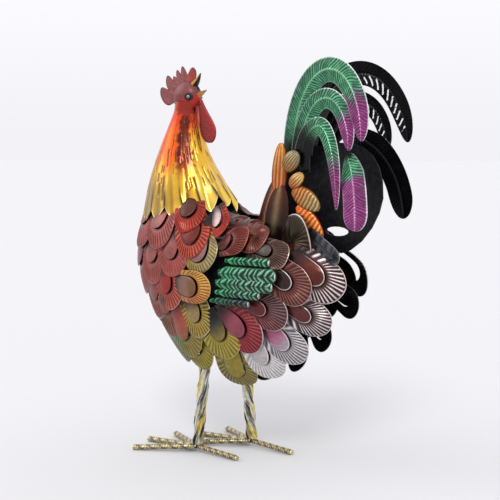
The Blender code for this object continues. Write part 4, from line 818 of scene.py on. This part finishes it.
def sickle(piece, letter, shape, slitted):
    """A curved feather: a rib along it, stamped barbs on both sides, green with a purple end, black inside."""
    pitch = 0.0036
    share = np.linspace(0.0, 1.0, 380)
    middle = sweep(shape, share)
    ahead = unit(np.gradient(middle * np.array([1.0, 0.0, 1.0]), axis=0))
    out = np.stack([-ahead[:, 2], 0 * ahead[:, 0], ahead[:, 0]], axis=-1)
    along = np.concatenate([[0.0], np.cumsum(np.linalg.norm(np.diff(middle, axis=0), axis=1))])[:, None]
    root_width, tip_width = shape["widths"]
    pointed = shape.get("tip_point", 0.20)
    width = 0.5 * (root_width + (tip_width - root_width) * share)
    width = width * np.sqrt(np.maximum(0.003, 1.0 - np.clip((share - (1.0 - pointed)) / pointed, 0.0, 1.0) ** 2))
    if letter == "d":
        width = width * np.sqrt(np.minimum(1.0, 0.08 + share / 0.35))
    share = share[:, None]
    u = np.linspace(-1.0, 1.0, 25 if slitted else 19)[None, :]
    offset = u * width[:, None]
    phase = (along - 0.62 * np.abs(offset)) / pitch
    phase = phase + 0.22 * np.sin(along * 160 + 3 * u) + 0.15 * np.sin(along * 410 - 2 * u)
    wave = 0.5 + 0.5 * np.cos(2 * np.pi * phase)
    vary = 0.5 + 0.5 * np.sin(along * 610 + 4.0 * np.sign(u)) * np.sin(along * 97 + u)
    edge = ease(np.abs(u), 0.88, 1.0)
    rib = np.exp(-((np.abs(u) / 0.07) ** 2))
    height = 0.0009 + 0.0012 * (1.0 - u**2) + 0.0009 * rib + 0.00045 * (wave - 0.5) * (1.0 - rib) * (1.0 - edge)
    p = middle[:, None, :] + out[:, None, :] * offset[..., None] + LEFT * height[..., None]
    x, z = p[..., 0], p[..., 2]
    # Random dark mottling, a painted stand-in for the uneven sheen of the glossy paint
    blotch = np.sin(210 * x + 1.7 * np.sin(150 * z)) * np.sin(190 * z + 1.9 * np.sin(170 * x))
    blotch = ease(blotch + 0.4 * np.sin(530 * x + 470 * z), -0.5, 1.0)
    change = ease(share + 0.02 * np.sin(u * 5), shape["purple"] - 0.09, shape["purple"] + 0.05)
    base = mix((48, 140, 88), (136, 44, 110), change)
    # deep is a painted shade for the troughs between the barbs, light a painted highlight for their crests and the rib
    deep = mix((10, 40, 28), (56, 14, 46), change)
    light = mix((176, 232, 196), (240, 190, 226), change)
    calm = 1.0 - 0.45 * change
    shade = mix(base, deep, 0.85 * calm * (1.0 - wave) ** 2)
    shade = mix(shade, light, calm * (0.35 + 0.6 * vary) * wave**6)
    # The mottled painted sheen darkens the paint here
    shade = shade + (0.6 * deep + 0.1 * light - 0.7 * shade) * (0.60 * blotch * (0.5 + 0.3 * calm))[..., None]
    outer = ease(u, 0.25, 1.0) * (1.0 - ease(share, 0.35, 0.80))
    shade = mix(shade, (40, 58, 50), 0.55 * outer * (1.0 - wave**4))
    # Painted highlight along the raised rib
    shade = mix(shade, light, 0.60 * rib)
    # Painted shade at the foot, where the feather goes in behind the leaves
    foot_start, foot_end, darkness = FOOT_SHADE[letter]
    shade = mix(shade, (5, 7, 6), darkness * (1.0 - ease(share, foot_start, foot_end)))
    rim = np.where(u > 0, edge, 0.35 * edge)
    shade = mix(shade, (252, 252, 252), rim * (0.5 + 0.5 * ease(share, 0.3, 0.6)))
    slow = 0.5 + 0.5 * np.cos(2 * np.pi * (along - 1.2 * np.abs(offset)) / (2.7 * pitch))
    cut = ease(slow, 0.85, 0.96) * ease(-u, 0.04, 0.12) * (1.0 - ease(-u, 0.80, 0.95))
    start, end = shape.get("slits", (0.45, 0.97))
    cut = cut * ease(share, start, start + 0.05) * (1.0 - ease(share, end - 0.04, end))
    # Grey on the inner face along the slits, painted light showing through them; only on the right feathers are the
    # slits also cut through
    inside = mix(INNER_FACE, (70, 70, 72), 0.5 * ease(cut, 0.1, 0.5))
    solid = (cut[1:, 1:] + cut[:-1, :-1] < 1.0)[:, ::-1] if slitted else None
    piece.sheet(p[:, ::-1], LEFT, SHEET, shade[:, ::-1], inside[:, ::-1], solid)


# Painted shade at the foot of each tail feather, where it goes in behind the leaves: where it starts and ends to fade,
# as shares of its length, and how dark it is
FOOT_SHADE = {"a": (0.0, 0.10, 0.8), "b": (0.08, 0.26, 0.98), "c": (0.08, 0.34, 0.98), "d": (0.0, 0.10, 0.8)}


def build_sickles():
    shapes = {
        "a": dict(left=(0.033, 0.350), crest=(0.097, 0.469), tip=(0.148, 0.388), begin=0.12, sides=(0.0095, 0.047),
                  widths=(0.032, 0.024), purple=0.80),
        "b": dict(left=(0.047, 0.345), crest=(0.093, 0.437), tip=(0.129, 0.378), begin=0.06, sides=(0.0158, 0.042),
                  widths=(0.028, 0.018), purple=0.79),
        "c": dict(left=(0.051, 0.352), crest=(0.083, 0.406), tip=(0.112, 0.312), begin=0.30, sides=(0.0205, 0.040),
                  widths=(0.026, 0.014), purple=0.80, tip_point=0.35),
        "d": dict(left=(0.052, 0.345), crest=(0.080, 0.396), tip=(0.140, 0.289), begin=1.42, sides=(0.0240, 0.045),
                  widths=(0.031, 0.031), purple=0.38, slits=(1.5, 1.6)),
    }
    far = {
        "a": dict(sides=(0.0095, 0.057), splay=1.0),
        "d": dict(crest=(0.086, 0.397), tip=(0.149, 0.299), begin=1.02, sides=(0.0170, 0.046),
                  widths=(0.034, 0.030), purple=0.60),
    }
    for letter, shape in shapes.items():
        piece = Piece()
        sickle(piece, letter, shape, False)
        piece.make(f"sickle_{letter}_painted_left", GREEN_PAINT, f"sickle_{letter}_left", "green_feathers")
        piece = Piece()
        sickle(piece, letter, {**shape, **far.get(letter, {})}, True)
        piece.mirrored().make(f"sickle_{letter}_painted_right", GREEN_PAINT, f"sickle_{letter}_right",
                              "green_feathers")


def leaf(piece, root, tip, half, y, bulge, start, end, ribs, power=0.5, edge=None, deep=(60, 24, 10), strength=0.6,
         across=False):
    """A domed leaf feather in a plane beside the tail, in two colours, with ribs pressed along or across it."""
    root, tip = np.array([root[0], 0.0, root[1]]), np.array([tip[0], 0.0, tip[1]])
    axis = unit(tip - root)
    out = np.array([-axis[2], 0.0, axis[0]])
    v = np.linspace(0.0, 1.0, 60)[:, None]
    u = np.linspace(-1.0, 1.0, 21)[None, :]
    width = half * np.maximum(0.02, np.sin(np.pi * (0.06 + 0.935 * v))) ** power
    wave = 0.5 + 0.5 * np.cos(2 * np.pi * (v * ribs - 0.35 * (1 - np.abs(u)) if across else u * ribs * 0.5))
    fade = (1.0 - ease(np.abs(u), 0.8, 1.0)) * ease(v, 0.05, 0.2)
    rise = bulge * np.sqrt(np.clip(1.0 - u**2, 0.0, 1.0)) * np.sin(np.pi * np.clip(v * 0.94 + 0.05, 0, 1)) ** 0.6
    rise = rise + 0.0005 * (wave - 0.5) * fade
    p = root + (tip - root) * v[..., None] + out * (u * width)[..., None] + LEFT * (y + rise)[..., None]
    shade = mix(start, end, ease(v, 0.15, 0.9))
    # Painted highlight on the crests of the ribs and painted shade in the troughs, with the same dark along the sides
    shade = mix(shade, (245, 226, 160), 0.35 * wave**3 * fade)
    shade = mix(shade, deep, strength * (1.0 - wave) ** 2.5 * fade)
    shade = mix(shade, deep, 0.6 * ease(np.abs(u), 0.82, 1.0))
    if edge:
        shade = mix(shade, edge, ease(u, 0.86, 0.97))
    piece.sheet(p[:, ::-1], LEFT, SHEET, shade[:, ::-1])


def build_tail_foot():
    for side in ("left", "right"):
        piece = Piece()
        leaf(piece, (-0.0130, 0.262), (0.0120, 0.345), 0.0100, 0.0182, 0.0020, (46, 17, 15), (64, 24, 20), 1,
             edge=(150, 66, 54), strength=0.1)
        leaf(piece, (0.0195, 0.320), (0.0243, 0.3875), 0.0108, 0.0240, 0.0032, (170, 80, 34), (200, 124, 52), 4,
             0.45, strength=0.4)
        leaf(piece, (0.0310, 0.356), (0.0495, 0.3765), 0.0114, 0.0255, 0.0046, (150, 96, 46), (146, 136, 106), 7,
             0.45, deep=(50, 36, 20), strength=0.7)
        leaf(piece, (0.0390, 0.3365), (0.0570, 0.3515), 0.0084, 0.0255, 0.0046, (176, 96, 44), (206, 172, 100), 5,
             0.45, strength=0.5)
        leaf(piece, (0.0420, 0.333), (0.0790, 0.3110), 0.0122, 0.0240, 0.0048, (164, 88, 28), (160, 142, 94), 9,
             deep=(90, 44, 16), strength=0.75, across=True)
        low = ((0.0480, 0.314), (0.0826, 0.2780)) if side == "left" else ((0.0300, 0.308), (0.0600, 0.2720))
        leaf(piece, *low, 0.0104, 0.0230, 0.0042, (226, 108, 28), (226, 128, 46), 9,
             deep=(110, 36, 12), strength=0.7, across=True)
        leaf(piece, (0.0130, 0.270), (0.0255, 0.3390), 0.0168, 0.0258, 0.0024, (24, 12, 9), (62, 28, 16), 1,
             edge=(226, 130, 70), strength=0.1)
        if side == "right":
            piece = piece.mirrored()
        piece.make(f"tail_leaves_{side}", FEATHER_PAINT, f"tail_coverts_{side}", "gold_feathers")


# Legs and toes


LEG_BAR = 0.0115  # Width of the square bar
ROD_RADIUS, ROD_FLAT = 0.0039, 0.90  # The rod and its height over its width
FOOT_LOW = -0.0055  # The floor


def build_legs():
    for name, side, foot, top in (("left", -1, (-0.100, -0.031), (-0.091, -0.023)),
                                  ("right", 1, (-0.060, 0.031), (-0.066, 0.023))):
        left = side < 0
        low, high = (np.array(corner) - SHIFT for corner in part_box(f"leg_{name}"))
        share = np.linspace(0.0, 1.0, 130)[:, None]
        j = np.arange(64)[None, :] / 64
        face = (j * 4) % 1.0
        reach = 0.5 * LEG_BAR * np.minimum(1.0 / np.maximum(np.cos((face - 0.5) * np.pi / 2), 0.5), 1.30)
        reach = reach * (1.0 + 0.035 * np.sin(70 * share + 9 * j) * np.sin(23 * share))
        turn = 2 * np.pi * (j - 0.9 * side * share) + math.pi / 4
        p = np.stack([foot[0] + (top[0] - foot[0]) * share + reach * np.cos(turn),
                      foot[1] + (top[1] - foot[1]) * share + reach * np.sin(turn),
                      low[2] + (high[2] - 0.001 - low[2]) * share + 0 * j], axis=-1)
        around = 2 * np.pi * j
        shade = mix((186, 184, 164), (104, 104, 94), ease(np.sin(2 * around + 7 * share)))
        streak = np.sin(around + 6 * share + 1.5 * np.sin(7 * share) + (0.4 if left else 2))
        shade = mix(shade, (206, 176, 56) if left else (204, 178, 70), 0.85 * ease(streak, -0.55, 0.15))
        streak = np.sin(3 * around - 5 * share + 1.2 * np.sin(9 * share)) * np.cos(around + 9 * share)
        shade = mix(shade, (22, 22, 24), 0.9 * ease(streak, 0.2, 0.5))
        # Thin white streaks along the twist: painted highlights
        streak = np.sin(8 * around + 13 * share + np.sin(31 * share))
        shade = mix(shade, (250, 248, 236), 0.6 * ease(streak, 0.6, 0.95))
        shade = mix(shade, (206, 200, 176), 0.5 * ease(np.abs(face - 0.5) * 2, 0.86, 1.0))
        piece = Piece()
        piece.tube(p, shade)
        piece.cap(p, 0, (90, 84, 60))
        piece.cap(p, -1, (90, 84, 60))
        piece.make(f"leg_bar_{name}", BAR_PAINT, f"leg_{name}", "twisted_bar", 30)
        for place, degrees, length in (("inner", 180 + side * 29.5, 0.085 if left else 0.077), ("middle", 180, 0.085),
                                       ("outer", 180 - side * 29.5, 0.085), ("rear", 0, 0.064)):
            build_toe(f"toe_{place}_{name}", foot, degrees, length)


def build_toe(node, foot, degrees, length):
    turn = math.radians(degrees)
    ahead = np.array([math.cos(turn), math.sin(turn), 0.0])
    aside = np.array([-ahead[1], ahead[0], 0.0])
    start = 0.0022
    s = np.linspace(0.0, 1.0, 120)[:, None]
    reach = start + (length - start) * s
    around = 2 * np.pi * np.arange(22)[None, :] / 22
    ribs = 0.5 + 0.5 * np.cos(2 * np.pi * (reach / 0.0034 + 0.8 * around / (2 * np.pi)))
    radius = ROD_RADIUS * (0.93 + 0.07 * ribs) * (1.0 - 0.12 * ease(s, 0.985, 1.0))
    height = 0.0045 * np.clip(1.0 - reach / length, 0.0, 1.0) + ROD_FLAT * (ROD_RADIUS + radius * np.sin(around))
    p = np.array([*foot, FOOT_LOW]) + ahead * reach[..., None]
    p = p + aside * (radius * np.cos(around))[..., None] + UP * height[..., None]
    shade = mix((96, 86, 62), (196, 178, 126), ribs**0.7)
    shade = mix(shade, (226, 224, 214), 0.6 * ease(np.sin(60 * s + 3 * around) * np.sin(23 * s + 1.3), 0.1, 0.8))
    shade = mix(shade, (26, 24, 22), 0.45 * ease(np.sin(37 * s - 2 * around + 1.0), 0.3, 0.9))
    shade = mix(shade, (216, 200, 150), ease(s, 0.975, 0.99))
    piece = Piece()
    piece.tube(p, shade)
    piece.cap(p, 0, (60, 54, 44))
    piece.cap(p, -1, (206, 186, 130))
    piece.make(node + "_rod", BAR_PAINT, node, "twisted_bar", 50)


# Stage, light and camera


def build_stage():
    size = 60.0
    mesh = bpy.data.meshes.new("floor")
    mesh.from_pydata([(-size, -size, 0), (size, -size, 0), (size, size, 0), (-size, size, 0)], [], [(0, 1, 2, 3)])
    material, _, shader = new_material("pale_floor")
    fill(shader, Base_Color=(0.574, 0.572, 0.580, 1.0), Roughness=1.0, Specular_IOR_Level=0.0)
    mesh.materials.append(material)
    new_object("floor", mesh)
    world = bpy.data.worlds.new("studio")
    world.use_nodes = True
    tree = world.node_tree
    place = tree.nodes.new("ShaderNodeTexCoord")
    parts = tree.nodes.new("ShaderNodeSeparateXYZ")
    tree.links.new(place.outputs["Generated"], parts.inputs["Vector"])
    ramp(tree, parts.outputs["Z"], tree.nodes["Background"].inputs["Color"],
         (0.02, (0.895, 0.889, 0.925)), (0.70, (1.30, 1.30, 1.34)))
    bpy.context.scene.world = world
    bpy.context.scene.view_settings.view_transform = "Standard"
    for name, place, angle, strength in (("key", (0.9, -1.6, 1.7), 20.0, 1.3), ("fill", (-1.8, -0.9, 1.2), 35.0, 0.5)):
        light = bpy.data.lights.new(name, "SUN")
        light.angle = math.radians(angle)
        light.energy = strength
        new_object(name, light).rotation_euler = (-Vector(place)).to_track_quat("-Z", "Y").to_euler()


def build_camera():
    """The photo's camera: its focal length is 1027 pixels in a picture 500 pixels wide."""
    camera = bpy.data.cameras.new("camera")
    camera.sensor_width = 36.0
    camera.lens = 1027.0 * 36.0 / 500.0
    turn, pitch = math.radians(37.0), math.radians(5.27)
    right = Vector((math.cos(turn), math.sin(turn), 0.0))
    forward = Vector((-math.sin(turn) * math.cos(pitch), math.cos(turn) * math.cos(pitch), -math.sin(pitch)))
    rotation = Matrix((right, right.cross(forward), -forward)).transposed()
    thing = new_object("camera", camera)
    thing.matrix_world = Matrix.Translation(Vector((0.7273, -1.0177, 0.3730)) + Vector(SHIFT)) @ rotation.to_4x4()
    bpy.context.scene.camera = thing


def plain_dark():
    """Black paint with a fine grain, for the shell, the wedge and the plate behind the tail."""
    material, tree, shader = new_material("black_shell")
    fill(shader, Metallic=0.3, Specular_IOR_Level=0.25, Roughness=0.5)
    grain = noise(tree, Scale=180.0, Detail=4.0)
    ramp(tree, grain, shader.inputs["Base Color"], (0.35, (0.004, 0.004, 0.006)), (0.75, (0.016, 0.015, 0.018)))
    relief(tree, shader, grain, Distance=0.0003)
    return material


build_rows()
build_wing()
build_neck()
build_head()
build_comb()
build_beak()
build_wattle()
build_eyes()
build_sickles()
build_tail_foot()
build_legs()
dark = plain_dark()
for node in ("body_shell", "tail_base", "tail_plate"):
    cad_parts[node].data.materials.clear()
    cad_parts[node].data.materials.append(dark)
build_stage()
build_camera()
